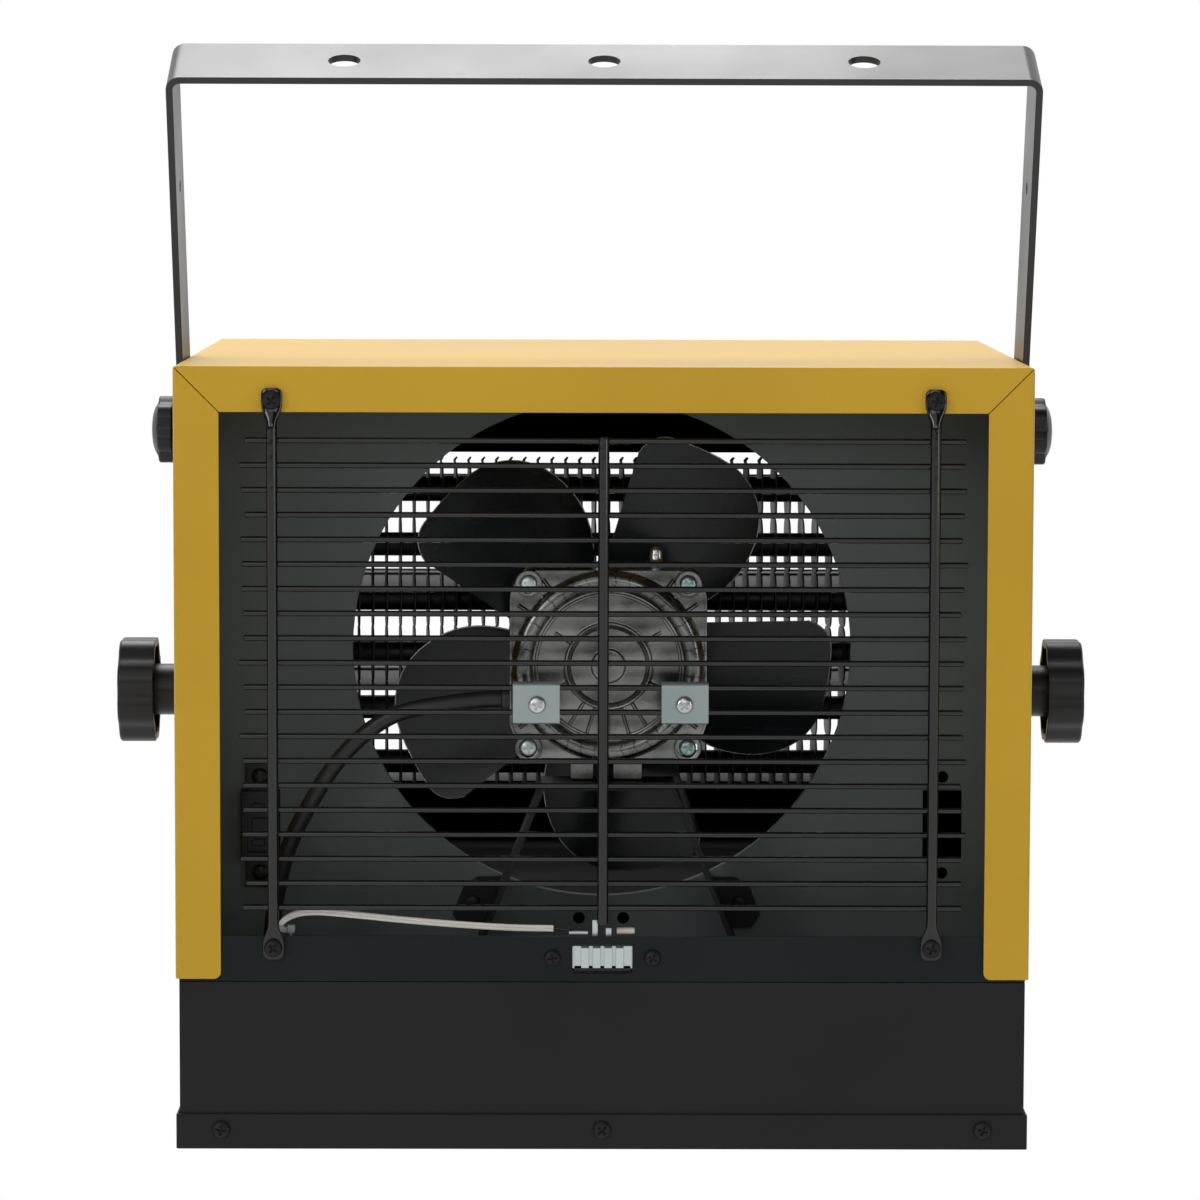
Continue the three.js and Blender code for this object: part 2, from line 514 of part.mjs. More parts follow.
// The front shield, with two feet on the motor bracket and a domed earth cap on top.
function motorFrontShield() {
  const { wall, footX, footHalf } = motor;
  const hollow = motorBlock(frontShieldRear - 1, motorFront - wall, wall);
  const cup = bearingCup(bearingFront, motorFront - 1);
  const seat = bearingSeat(frontShieldRear - 1, motorFront - bearing.endWall);
  const shaftHole = onAxis(bore, shaft.radius + 2 * gap, frontShieldRear, motorFront + 1, 10);
  const feet = [-footX, footX].map((dx) => block3(axis.x + dx - footHalf, axis.x + dx + footHalf,
    frontShieldRear, motorFront, seatZ + gap, motorBottom + 2));
  const earthCap = revolve([[0, 0], [5.4, 0], [4.4, 4], [3.4, 6.4], [2, 7.8], [0, 8.2]], along.z,
    [axis.x + motor.width / 4, motorFront - 10, motorTop - 0.6], 10);
  const shell = cut(motorBlock(frontShieldRear, motorFront), hollow);
  return cut(join(shell, cup, boltPosts(frontShieldRear, motorFront), feet, earthCap), seat, shaftHole,
    boltHoles());
}

function throughScrew([x, z]) {
  const seatY = motorFace - gap;
  const { radius, headRadius, headHeight } = throughBolt;
  const length = motorFront - seatY - 4;
  return panScrew([x, seatY, z], { headRadius, headHeight, shankRadius: radius, length });
}

const ballBearing = (y) => (
  revolve(ring(bearing.radius, shaft.radius + gap, 0, bearing.width), along.y, [axis.x, y, axis.z], 12));

function rotorShaft() {
  const { radius, rotorRadius, past } = shaft;
  const start = bearingRear + gap;
  const end = nutY + fanNut.height + past;
  const core0 = statorRear - 3;
  const core1 = statorRear + motor.statorDepth + 3;
  return revolve([[0, start], [radius, start], [radius, core0 - 1], [rotorRadius, core0],
    [rotorRadius, core1], [radius, core1 + 1], [radius, end - 1], [radius - 1, end], [0, end]], along.y,
  [axis.x, 0, axis.z], 12);
}

// A folded strip over the motor's feet, its splayed legs screwed to the partition by outer tabs.
function motorCradle() {
  const { y, webBack, thickness: t, seatHalf, footHalf, tabWidth, tabLow, tabHigh } = cradle;
  const back = partition.y - gap;
  const foot = floorTop + gap;
  const web = outline([[axis.x - footHalf, foot], [axis.x - seatHalf, seatZ], [axis.x + seatHalf, seatZ],
    [axis.x + footHalf, foot], [axis.x + footHalf - t * 1.1, foot], [axis.x + seatHalf - t * 0.8, seatZ - t],
    [axis.x - seatHalf + t * 0.8, seatZ - t], [axis.x - footHalf + t * 1.1, foot]]);
  const lean = (footHalf - seatHalf) / (seatZ - foot);
  const legAt = (z) => footHalf - (z - foot) * lean - t / 2;
  const tabZ = (tabLow + tabHigh) / 2;
  const head = { headRadius: 3.4, headHeight: 2, shankRadius: 1.6, length: 1 };
  const tabs = [-1, 1].map((side) => {
    const at = (z, out) => [axis.x + side * (legAt(z) + out), z];
    const ear = outline([at(tabLow, 0), at(tabLow, tabWidth * 0.6), at(tabLow + 6, tabWidth),
      at(tabHigh - 4, tabWidth), at(tabHigh, tabWidth * 0.7), at(tabHigh, 0)]);
    const [x] = at(tabZ, tabWidth * 0.55);
    return join(alongY(ear, back - t, back), panScrew([x, back - t, tabZ], head));
  });
  const fanRoom = bar(holeRadius, [axis.x, webBack, axis.z], [axis.x, back + 1, axis.z], 24);
  return join(cut(alongY(web, y, back), fanRoom), tabs);
}

// A clip on the rear shield's ring, turned in at its top and bottom and held by one screw.
function shieldClip(offset) {
  const { width, height, depth, thickness: t, drop } = clip;
  const x = axis.x + offset;
  const z = axis.z - drop;
  const front = motor.rearY - gap;
  const body = block3(x - width / 2, x + width / 2, front - depth, front, z - height / 2, z + height / 2);
  const channel = block3(x - width, x + width, front - depth + t, front + 1,
    z - height / 2 + t, z + height / 2 - t);
  const head = { headRadius: 4, headHeight: 2.4, shankRadius: 2, length: depth };
  return join(cut(body, channel), panScrew([x, front - depth, z], head));
}

// ---------------------------------------------------------------- fan

// A leaf of sheet bowed about X, drawn in y and z through the origin.
function bowedLeaf(half, rise, thickness) {
  const bow = (half ** 2 + rise ** 2) / (2 * rise);
  const halfTurn = Math.asin(half / bow);
  const leaf = new THREE.Shape();
  leaf.absarc(0, rise - bow, bow, Math.PI / 2 - halfTurn, Math.PI / 2 + halfTurn);
  leaf.absarc(0, rise - bow, bow - thickness, Math.PI / 2 + halfTurn, Math.PI / 2 - halfTurn, true);
  return leaf;
}

// A blade's outline seen along the axis: straight leading edge, round tip and bellied trailing edge.
function bladeOutline() {
  const { radius, rootRadius, leadRoot, leadTip, leadRound, belly, trailRoot } = fan;
  const tipAngle = Math.asin((leadTip - leadRound) / radius);
  const shape = new THREE.Shape();
  shape.moveTo(rootRadius, leadRoot);
  shape.lineTo(radius * Math.cos(tipAngle) - leadRound, leadTip);
  shape.quadraticCurveTo(radius * Math.cos(tipAngle) - 1, leadTip - 1, radius * Math.cos(tipAngle),
    radius * Math.sin(tipAngle));
  shape.absarc(0, 0, radius, tipAngle, -0.06, true);
  shape.bezierCurveTo(radius - 2, -radius * 0.2, radius * 0.87, belly, radius * 0.64, belly);
  shape.quadraticCurveTo(radius * 0.42, belly, rootRadius, trailRoot);
  return shape;
}

// One blade: its outline cut from a bowed sheet set at the pitch angle.
function fanBlade() {
  const { radius, rootRadius, pitchAngle, camber, thickness, y } = fan;
  const half = radius / 2;
  const sheetLeaf = alongX(bowedLeaf(half, camber, thickness), rootRadius - 1, radius + 1, 2);
  const pitched = sheetLeaf.translate([0, 0, -camber / 2]).rotate([90 + pitchAngle, 0, 0]);
  return pitched.translate([0, y, 0]).intersect(alongY(bladeOutline(), y - radius, y + radius, 4));
}

function fanWheel() {
  const { blades, phase, hubRadius, hubThickness, bossRadius, bossLength, gripLength, gripWidth, gripDepth,
    y } = fan;
  const aroundHub = (body) => Array.from({ length: blades }, (_, i) => (
    body.rotate([0, -phase - (i * 360) / blades, 0]).translate([axis.x, 0, axis.z])));
  const wings = aroundHub(fanBlade());
  const gripStart = hubRadius - 4 - gripLength / 2;
  const grips = aroundHub(block3(gripStart, gripStart + gripLength, y - gripDepth / 2, y + gripDepth / 2,
    -gripWidth / 2, gripWidth / 2));
  const hub = revolve([[0, -3], [bossRadius, -3], [bossRadius + 2, 0], [hubRadius, 0],
    [hubRadius, hubThickness], [bossRadius + 1, hubThickness], [bossRadius, 3],
    [bossRadius, bossLength - 3], [0, bossLength - 3]], along.y, [axis.x, fanFace, axis.z], 15);
  const shaftBore = onAxis(bore, shaft.radius + gap, y - bossLength, y + bossLength, 10);
  return cut(join(hub, wings, grips), shaftBore);
}

function fanRetainer() {
  const end = nutY + fanNut.height;
  return cut(bar(fanNut.radius, [axis.x, nutY, axis.z], [axis.x, end, axis.z], 6),
    bore(shaft.radius + gap, [axis.x, nutY - 1, axis.z], [axis.x, end + 1, axis.z]));
}

// ---------------------------------------------------------------- heating elements

// A straight run: cold end, fins between the duct walls, cold end.
function finnedRun(z) {
  const { y, tubeRadius, finRoot, finRadius, finsPerRun, finMargin, bendMargin, coldMargin } = element;
  const span = ductHalf - finMargin;
  const pitch = (2 * span) / finsPerRun;
  const profile = [[0, -ductHalf - coldMargin], [tubeRadius, -ductHalf - coldMargin], [tubeRadius, -span]];
  for (let i = 0; i < finsPerRun; i += 1) {
    profile.push([finRoot, -span + i * pitch], [finRadius, -span + (i + 0.5) * pitch]);
  }
  profile.push([finRoot, span], [tubeRadius, span], [tubeRadius, ductHalf + bendMargin],
    [0, ductHalf + bendMargin]);
  return revolve(profile, along.x, [0, y, z], 5);
}

// A ceramic bead with a threaded stud, pointing away from the bend.
function coldTerminal(z) {
  const { y, coldMargin, ceramicRadius, ceramicLength, studRadius, studLength } = element;
  return revolve([[0, -1], [ceramicRadius, -1], [ceramicRadius, ceramicLength], [studRadius, ceramicLength],
    [studRadius, ceramicLength + studLength], [0, ceramicLength + studLength]],
  along.x.clone().negate(), [-ductHalf - coldMargin, y, z], 5);
}

function heatingHairpin(index) {
  const [upper, lower] = runHeights.slice(2 * index, 2 * index + 2);
  const { y, tubeRadius, bendMargin } = element;
  const middle = (upper + lower) / 2;
  const half = (upper - lower) / 2;
  const steps = 5;
  const bend = Array.from({ length: steps + 1 }, (_, i) => {
    const angle = Math.PI / 2 - (i * Math.PI) / steps;
    return [ductHalf + bendMargin - 0.5 + half * Math.cos(angle), y, middle + half * Math.sin(angle)];
  });
  const elbow = sweep(bend, circleShape(tubeRadius * 0.98, 5), steps);
  return join(finnedRun(upper), finnedRun(lower), elbow, coldTerminal(upper), coldTerminal(lower));
}

// ---------------------------------------------------------------- louvers

// A shallow curved blade with a hemmed front edge and a pin at each end, drawn about its own pivot.
function louverBlade(z) {
  const { chord, rise, thickness, tilt: set, hemRadius, spineRadius, pinRadius, sideGap } = louver;
  const half = chord / 2;
  const leaf = bowedLeaf(half, rise, thickness);
  const hem = new THREE.Shape();
  hem.absarc(half - 1, 0, hemRadius, 0, 2 * Math.PI);
  const spine = new THREE.Shape();
  spine.absarc(0, rise / 2, spineRadius, 0, 2 * Math.PI);
  const reach = ductHalf - sideGap;
  const pinEnd = ductHalf + duct.wall + 1;
  const blade = join([leaf, hem, spine].map((shape) => alongX(shape, -reach, reach, 2)));
  const pins = bar(pinRadius, [-pinEnd, 0, 0], [pinEnd, 0, 0], 6);
  return join(blade.rotate([set, 0, 0]), pins).translate([0, louverY, z]);
}

// ---------------------------------------------------------------- wiring

// Out of the motor's left side, round the fan hole and down through the tray to the terminal block.
function motorCable() {
  const startX = axis.x - motor.width / 2 - gap;
  const startZ = axis.z - 16.5;
  const low = floorLow - 16;
  const points = [[startX, motor.rearY + 10, startZ], [startX - 12, 32, startZ],
    [startX - 30, 31, startZ - 2], [startX - 48, 31, startZ - 5.5], [startX - 63, 33, startZ - 14.5],
    [startX - 77, 37, startZ - 29], [cableX + 19, 43, startZ * 0.61], [cableX + 9, 50, startZ * 0.44],
    [cableX + 3, 56, startZ * 0.25],
    [cableX, cable.dropY, 8], [cableX, cable.dropY, -6], [cableX, cable.dropY + 6, low + 2.5],
    [cableX, cable.dropY + 18, low], [cableX, blockY - gap, low]];
  return sweep(points, circleShape(cable.radius, 6), 19);
}

function cableGrommet() {
  const { grommetRadius: outer, grommetHeight: high, radius, lip } = cable;
  const neck = outer - lip - gap;
  const half = sheet / 2 + gap;
  const inner = radius + 2 * gap;
  return revolve([[inner, -high / 2], [outer, -high / 2], [outer, -half], [neck, -half], [neck, half],
    [outer, half], [outer, high / 2], [inner, high / 2], [inner, -high / 2]], along.z,
  [cableX, cable.dropY, (floorLow + floorTop) / 2], 8);
}

// A flat sleeved lead that rises from the tray and runs behind the guard to the middle.
function sensorLead() {
  const points = [[leadX, 9, floorTop + gap], [leadX, 8.6, 10], [leadX + 0.5, 8, 19], [leadX + 2.7, 7.4, 24],
    [leadX + 8.5, 7, 27.4], [leadX + 17.5, 6.8, 28.4], [leadX * 0.76, 6.6, 27.2], [leadX * 0.62, 6.4, 25.2],
    [leadX * 0.45, 6.2, 23.2], [leadX * 0.28, 6, 21.8], [-cutout.neckRight, 6, 21.4]];
  const [u, v] = [lead.thickness / 2, lead.width / 2];
  const flat = outline([[-u, -v], [u, -v], [u, v], [-u, v]]);
  return sweep(points, flat, 16);
}

function leadTie() {
  const { tieInner, tieOuter, tieHalf, headWidth, headDepth, headHeight } = lead;
  const [x, y, z] = [leadX + 1.4, 7.8, 21.7];
  const lean = new THREE.Vector3(0.35, 0, 0.94).normalize();
  const band = revolve(ring(tieOuter, tieInner, -tieHalf, tieHalf), lean, [x, y, z], 10);
  const head0 = x + (tieInner + tieOuter) / 2 - 0.2;
  const [headRear, headLow] = [y - 2.2, z - 3];
  return join(band, block3(head0, head0 + headWidth, headRear, headRear + headDepth, headLow,
    headLow + headHeight));
}

// Thermal cut-out on a strip behind the rail, its tabs showing in the rail's window.
function thermalCutout() {
  const { screwX, screwRadius, stripHalf, stripThickness, bodyHalf, depth, tabPitch, tabHalf, tabRise,
    neckLeft, neckRight, neckTop } = cutout;
  const back = railBack + gap;
  const z = cutoutZ;
  const end = screwX + stripHalf - 0.5;
  const strip = block3(-end, end, back, back + stripThickness, z - stripHalf, z + stripHalf);
  const body = block3(-bodyHalf, bodyHalf, back, back + depth, z - stripHalf - 0.5, z + stripHalf + 1);
  const tabs = [-1.5, -0.5, 0.5, 1.5].map((step) => block3(step * tabPitch - tabHalf,
    step * tabPitch + tabHalf, back - sheet - gap / 2, back + 1, z - tabRise, z + tabHalf));
  const neck = block3(neckLeft, neckRight, back + 0.2, back + 4, z - 1, neckTop);
  const head = { headRadius: 3.6, headHeight: 2.1, shankRadius: screwRadius, length: 2 * sheet + gap };
  const screws = [-screwX, screwX].map((x) => panScrew([x, rearPlane - gap, z], head));
  return join(strip, body, tabs, neck, screws);
}

// A connector pushed through the left cut-out, held by an eared plate.
function sideConnector() {
  const { y, cutWidth, cutHeight, cutZ, screwRise } = partition;
  const { earHalf, earRound, plate: thick, rear, reach, outerWall, innerWall, floor, bridgeHalf,
    hookRoom } = connector;
  const [wide, high] = [cutWidth / 2 - gap, cutHeight / 2 - gap];
  const [left, right] = [-cutX - wide, -cutX + wide];
  const seat = y - gap - thick;
  const body = block3(left, right, y - rear, y + reach, cutZ - high, cutZ + high);
  const ears = roundedBox(-cutX - earHalf, -cutX + earHalf, cutZ - screwRise - earHalf,
    cutZ + screwRise + earHalf, earRound);
  const plate = alongY(ears, seat, y - gap, 2);
  const recess = block3(left + outerWall, right - innerWall, y - rear - 1, y + floor,
    cutZ - high + outerWall, cutZ + high - outerWall);
  const bridge = block3(left + hookRoom, right - innerWall, y - rear + 1, y + floor + 1,
    cutZ - bridgeHalf, cutZ + bridgeHalf);
  const head = { headRadius: 3.8, headHeight: 2.4, shankRadius: 1.8, length: 6 };
  const screws = [-screwRise, screwRise].map((rise) => panScrew([-cutX, seat, cutZ + rise], head));
  return join(cut(join(body, plate), recess), bridge, screws);
}

function terminalBlock() {
  const { length, width, height, ways, wall, web, slotDepth } = block;
  const top = floorLow - gap;
  const [left, right] = [cableX - width / 2, cableX + width / 2];
  const body = block3(left, right, blockY, blockY + length, top - height, top);
  const pitch = length / ways;
  const slots = Array.from({ length: ways }, (_, i) => block3(left + wall, right - wall,
    blockY + i * pitch + web, blockY + (i + 1) * pitch - web, top - height - 1, top - height + slotDepth));
  return cut(body, slots);
}

// ---------------------------------------------------------------- controls in the base

// A switch or thermostat behind the base's front wall, its collar passing through the wall.
function controlBody(x, width, depth) {
  const { z, shaftRadius } = control;
  const front = frontPlane - sheet - gap;
  const rear = front - depth;
  const half = width / 2;
  const body = alongY(roundedBox(x - half, x + half, z - half, z + half, 3), rear, front, 1);
  const tabs = [-8, 0, 8].map((dx) => (
    block3(x + dx - 2.4, x + dx + 2.4, rear - 8, rear + 1, z - 0.5, z + 0.5)));
  const collar = bar(shaftRadius + 3 * gap, [x, front - 1, z], [x, frontPlane - gap, z], 8);
  const socket = bore(shaftRadius + gap, [x, front - depth / 2, z], [x, frontPlane + 1, z], 8);
  return cut(join(body, tabs, collar), socket);
}

// A skirted knob with a grip bar and its short shaft.
function controlKnob(x, depth) {
  const { knobRadius, knobLength, skirtRadius, shaftRadius, gripHalf, lift, z } = control;
  const start = frontPlane + gap + lift;
  const skirt = revolve([[0, 0], [skirtRadius, 0], [skirtRadius, 2], [knobRadius, 5],
    [knobRadius - 1.5, 8], [0, 8]], along.y, [x, start, z], 12);
  const reach = knobRadius - 1;
  const gripBar = roundedBox(x - gripHalf, x + gripHalf, z - reach, z + reach, gripHalf - 1);
  const grip = alongY(gripBar, start + 7, start + knobLength, 2);
  const stem = bar(shaftRadius, [x, frontPlane - sheet - gap - depth / 2 + 2, z], [x, start + 1, z], 8);
  return join(skirt, grip, stem);
}

function inletGrommet() {
  const { y, z, radius, throat, flange, reach } = inlet;
  const half = sheet / 2 + gap;
  const neck = radius - gap;
  const outer = half + 1;
  return revolve([[throat, -reach], [radius + flange, -reach], [radius + flange, -half], [neck, -half],
    [neck, half], [radius + flange, half], [radius + flange - 1, outer], [throat + 1, outer],
    [throat, half], [throat, -reach]], along.x, [innerHalf - sheet / 2, y, z], 8);
}

// ---------------------------------------------------------------- ceiling bracket and its knobs

// Drawn with the tilt axis at the origin and the arms upright.
function ceilingBracket() {
  const { reach, width, thickness: t, bendRadius: r, holePitch, holeRadius: plateHole, lockReach,
    wireHoleReach, wireHoleRadius } = bracket;
  const half = width / 2;
  const shape = new THREE.Shape();
  shape.moveTo(armOuter, -half);
  shape.absarc(armOuter - r, reach - r, r, 0, Math.PI / 2);
  shape.absarc(-armOuter + r, reach - r, r, Math.PI / 2, Math.PI);
  shape.lineTo(-armOuter, -half);
  shape.lineTo(-armInner, -half);
  shape.absarc(-armOuter + r, reach - r, r - t, Math.PI, Math.PI / 2, true);
  shape.absarc(armOuter - r, reach - r, r - t, Math.PI / 2, 0, true);
  shape.lineTo(armInner, -half);
  const keep = join(block3(-armOuter - 1, armOuter + 1, -half - 1, half + 1, 0, reach + 1),
    bar(half, [-armOuter - 1, 0, 0], [armOuter + 1, 0, 0], 12));
  const across = (radius, z) => bore(radius, [-armOuter - 1, 0, z], [armOuter + 1, 0, z], 8);
  const bolts = [-holePitch, 0, holePitch].map((x) => (
    bore(plateHole, [x, 0, reach - 2 * t], [x, 0, reach + t], 10)));
  return cut(alongY(shape, -half, half, 2).intersect(keep), bolts, across(clampKnob.studRadius + gap, 0),
    across(starKnob.studRadius + gap, lockReach), across(wireHoleRadius, wireHoleReach));
}

// A wavy grip outline with round lobes and shallow hollows between them.
function lobedOutline(radius, lobes, depth) {
  const steps = lobes * 3;
  return outline(Array.from({ length: steps }, (_, i) => {
    const angle = (i * 2 * Math.PI) / steps;
    const reach = radius - depth * (0.5 - 0.5 * Math.cos(lobes * angle)) ** 1.6;
    return [reach * Math.cos(angle), reach * Math.sin(angle)];
  }));
}

const onSide = (body, side) => (side > 0 ? body : body.rotate([0, 0, 180]));

// The big knob: lobed head hollow towards the arm, round hub and threaded stud.
function clampKnobBody(side) {
  const { radius, lobes, lobeDepth, thickness, hubRadius, hubLength, rim, hollow, edge, studRadius,
    nutLength } = clampKnob;
  const start = armOuter + gap;
  const head0 = start + hubLength;
  const head1 = head0 + thickness;
  const core = radius - lobeDepth;
  const head = alongX(lobedOutline(radius, lobes, lobeDepth), head0, head1 - edge);
  const face = core - 0.6;
  const cap = revolve([[0, -1], [face, -1], [face, 0], [face - edge, edge], [0, edge]], along.x,
    [head1 - edge, 0, 0], 16);
  const dish = revolve(ring(core - rim, hubRadius, -1, hollow), along.x, [head0, 0, 0], 12);
  const hub = bar(hubRadius, [start, 0, 0], [head1 - edge - 1, 0, 0], 12);
  const stud = bar(studRadius, [innerHalf - nutLength - 2, 0, 0], [start + 1, 0, 0], 8);
  return onSide(join(cut(join(head, cap), dish), hub, stud), side);
}

// The small knob: domed star on a short skirt, its screw threaded through the arm.
function starKnobBody(side) {
  const { radius, lobes, lobeDepth, thickness, skirtRadius, skirt, studRadius } = starKnob;
  const start = armOuter + gap;
  const head0 = start + skirt;
  const shoulder = thickness * 0.7;
  const core = radius - lobeDepth;
  const head = alongX(lobedOutline(radius, lobes, lobeDepth), head0, head0 + shoulder);
  const dome = revolve([[0, -1], [core - 0.4, -1], [core - 0.4, 0], [core - 2, thickness * 0.22],
    [radius * 0.4, thickness * 0.3], [0, thickness * 0.3]], along.x, [head0 + shoulder, 0, 0], 12);
  const neck = bar(skirtRadius, [start, 0, 0], [head0 + 1, 0, 0], 12);
  const stud = bar(studRadius, [halfWidth + gap, 0, 0], [start + 1, 0, 0], 8);
  return onSide(join(head, dome, neck, stud), side);
}

function pivotNut(side) {
  const { nutRadius, nutLength, studRadius } = clampKnob;
  const nut = cut(bar(nutRadius, [innerHalf - nutLength, 0, 0], [innerHalf, 0, 0], 6),
    bore(studRadius + gap, [innerHalf - nutLength - 1, 0, 0], [innerHalf + 1, 0, 0]));
  return onSide(nut, side).translate([0, pivot.y, pivot.z]);
}

// ---------------------------------------------------------------- assembly

const heaterGroup = new THREE.Group();
const bracketGroup = new THREE.Group();
const heater = new THREE.Group();
heater.add(heaterGroup, bracketGroup);

function place(name, body, look, group = heaterGroup) {
  const { vertProperties, triVerts } = body.getMesh();
  const geometry = new THREE.BufferGeometry();
  geometry.setAttribute('position', new THREE.BufferAttribute(vertProperties, 3));
  geometry.setIndex(new THREE.BufferAttribute(triVerts, 1));
  const mesh = new THREE.Mesh(geometry, new THREE.MeshStandardMaterial(look));
  mesh.name = name;
  group.add(mesh);
  return mesh;
}

place('hood', hoodShell(), finish.yellowPaint);
place('chassis_tray', chassisTray(), finish.blackPaint);
place('base_housing', baseHousing(), finish.blackPaint);
place('bottom_cover', bottomCover(), finish.blackPaint);
place('fan_partition', fanPartition(), finish.greyPaint);
place('front_panel', frontPanel(), finish.blackPaint);
place('air_duct', airDuct(), finish.blackPaint);

place('rear_guard', rearGuard(), finish.blackWire);
[eyeHigh, guard.eyeLow].flatMap((z) => [[-rodX, z], [rodX, z]]).forEach(([x, z], i) => (
  place(`guard_screw_${i + 1}`, panScrew([x, -2 * gap - guard.eyeThickness, z]), finish.blackPaint)));
coverScrewXs.forEach((x, i) => (
  place(`cover_screw_${i + 1}`, panScrew([x, -gap, coverScrewZ]), finish.blackPaint)));

place('motor_rear_shield', motorRearShield(), finish.castMetal);
place('motor_stator', motorStator(), finish.laminations);
place('motor_front_shield', motorFrontShield(), finish.castMetal);
boltSpots.forEach((spot, i) => place(`motor_screw_${i + 1}`, throughScrew(spot), finish.steel));
place('rear_bearing', ballBearing(bearingRear + gap), finish.steel);
place('front_bearing', ballBearing(bearingFront), finish.steel);
place('rotor_shaft', rotorShaft(), finish.steel);
place('motor_bracket', motorCradle(), finish.blackPaint);
place('shield_clip_left', shieldClip(clip.left), finish.zinc);
place('shield_clip_right', shieldClip(clip.right), finish.zinc);
place('fan', fanWheel(), finish.bladeMetal);
place('fan_nut', fanRetainer(), finish.steel);

['upper', 'middle', 'lower'].forEach((level, i) => (
  place(`heating_element_${level}`, heatingHairpin(i), finish.elementBlack)));
louverHeights.forEach((z, i) => place(`louver_${i + 1}`, louverBlade(z), finish.blackPaint));

place('motor_cable', motorCable(), finish.rubber);
place('cable_grommet', cableGrommet(), finish.rubber);
place('sensor_lead', sensorLead(), finish.whiteWire);
place('lead_tie', leadTie(), finish.whiteWire);
place('thermal_cutout', thermalCutout(), finish.zinc);
place('side_connector', sideConnector(), finish.blackPlastic);
place('terminal_block', terminalBlock(), finish.ceramic);
place('thermostat_body', controlBody(control.x, control.bodyWidth, control.bodyDepth), finish.ceramic);
place('selector_switch', controlBody(-control.x, control.switchWidth, control.switchDepth),
  finish.blackPlastic);
place('thermostat_knob', controlKnob(control.x, control.bodyDepth), finish.blackPlastic);
place('selector_knob', controlKnob(-control.x, control.switchDepth), finish.blackPlastic);
place('inlet_grommet', inletGrommet(), finish.rubber);

place('ceiling_bracket', ceilingBracket(), finish.blackPaint, bracketGroup);
for (const [name, side] of Object.entries({ left: -1, right: 1 })) {
  place(`pivot_nut_${name}`, pivotNut(side), finish.zinc);
  place(`clamp_knob_${name}`, clampKnobBody(side), finish.blackPlastic, bracketGroup);
  const star = place(`star_knob_${name}`, starKnobBody(side), finish.blackPlastic, bracketGroup);
  star.position.z = bracket.lockReach;
}

const tilt = THREE.MathUtils.degToRad(bracket.tilt);
bracketGroup.position.set(0, pivot.y, pivot.z);
bracketGroup.rotation.x = tilt;
heater.position.set(0, -pivot.y + bracket.reach * Math.sin(tilt), -pivot.z - bracket.reach * Math.cos(tilt));

export default heater;
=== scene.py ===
import json
import math

import bmesh
import bpy
from mathutils import Matrix, Vector


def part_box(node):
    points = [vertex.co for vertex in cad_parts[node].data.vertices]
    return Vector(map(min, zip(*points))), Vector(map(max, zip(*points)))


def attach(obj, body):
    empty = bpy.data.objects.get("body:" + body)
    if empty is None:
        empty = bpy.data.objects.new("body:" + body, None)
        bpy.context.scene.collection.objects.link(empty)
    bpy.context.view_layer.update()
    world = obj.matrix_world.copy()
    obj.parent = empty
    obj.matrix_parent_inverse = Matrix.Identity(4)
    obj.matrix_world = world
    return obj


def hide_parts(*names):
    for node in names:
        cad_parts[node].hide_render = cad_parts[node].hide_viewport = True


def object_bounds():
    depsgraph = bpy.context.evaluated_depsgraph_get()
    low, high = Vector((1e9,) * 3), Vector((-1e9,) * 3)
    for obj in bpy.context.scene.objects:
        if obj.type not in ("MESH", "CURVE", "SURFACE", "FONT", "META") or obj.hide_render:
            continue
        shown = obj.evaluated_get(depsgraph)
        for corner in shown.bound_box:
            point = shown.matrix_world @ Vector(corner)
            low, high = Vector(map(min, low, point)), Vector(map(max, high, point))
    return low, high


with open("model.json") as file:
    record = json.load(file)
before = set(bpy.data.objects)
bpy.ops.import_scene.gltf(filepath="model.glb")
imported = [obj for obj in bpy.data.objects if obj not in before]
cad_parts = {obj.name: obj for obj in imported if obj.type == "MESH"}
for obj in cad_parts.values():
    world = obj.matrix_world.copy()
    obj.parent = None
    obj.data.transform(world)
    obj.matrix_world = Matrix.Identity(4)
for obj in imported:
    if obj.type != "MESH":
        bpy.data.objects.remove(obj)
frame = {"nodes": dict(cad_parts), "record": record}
cadLow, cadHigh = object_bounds()
nodes = frame["nodes"]
hoodLow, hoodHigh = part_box("hood")
mm = 0.001
tiny = 0.02 * mm


def at(x, y, z):
    # a point in the casing's own millimetres, from its rear face and the hood's lower edge
    return Vector((x * mm, hoodLow.y + y * mm, hoodLow.z + z * mm))


def local(x=0, y=0, z=0):
    # millimetres from the origin, for steps and for pieces drawn there and moved later
    return Vector((x * mm, y * mm, z * mm))


# selecting and shaping

def deselect():
    active = bpy.context.view_layer.objects.active
    if active and active.mode != "OBJECT":
        bpy.ops.object.mode_set(mode="OBJECT")
    bpy.ops.object.select_all(action="DESELECT")


def take(piece):
    deselect()
    piece.select_set(True)
    bpy.context.view_layer.objects.active = piece
    return piece


def edit(piece):
    take(piece)
    bpy.ops.object.mode_set(mode="EDIT")
    bpy.ops.mesh.select_mode(type="FACE")
    bpy.ops.mesh.select_all(action="DESELECT")


def done(piece):
    bpy.ops.object.mode_set(mode="OBJECT")
    return piece


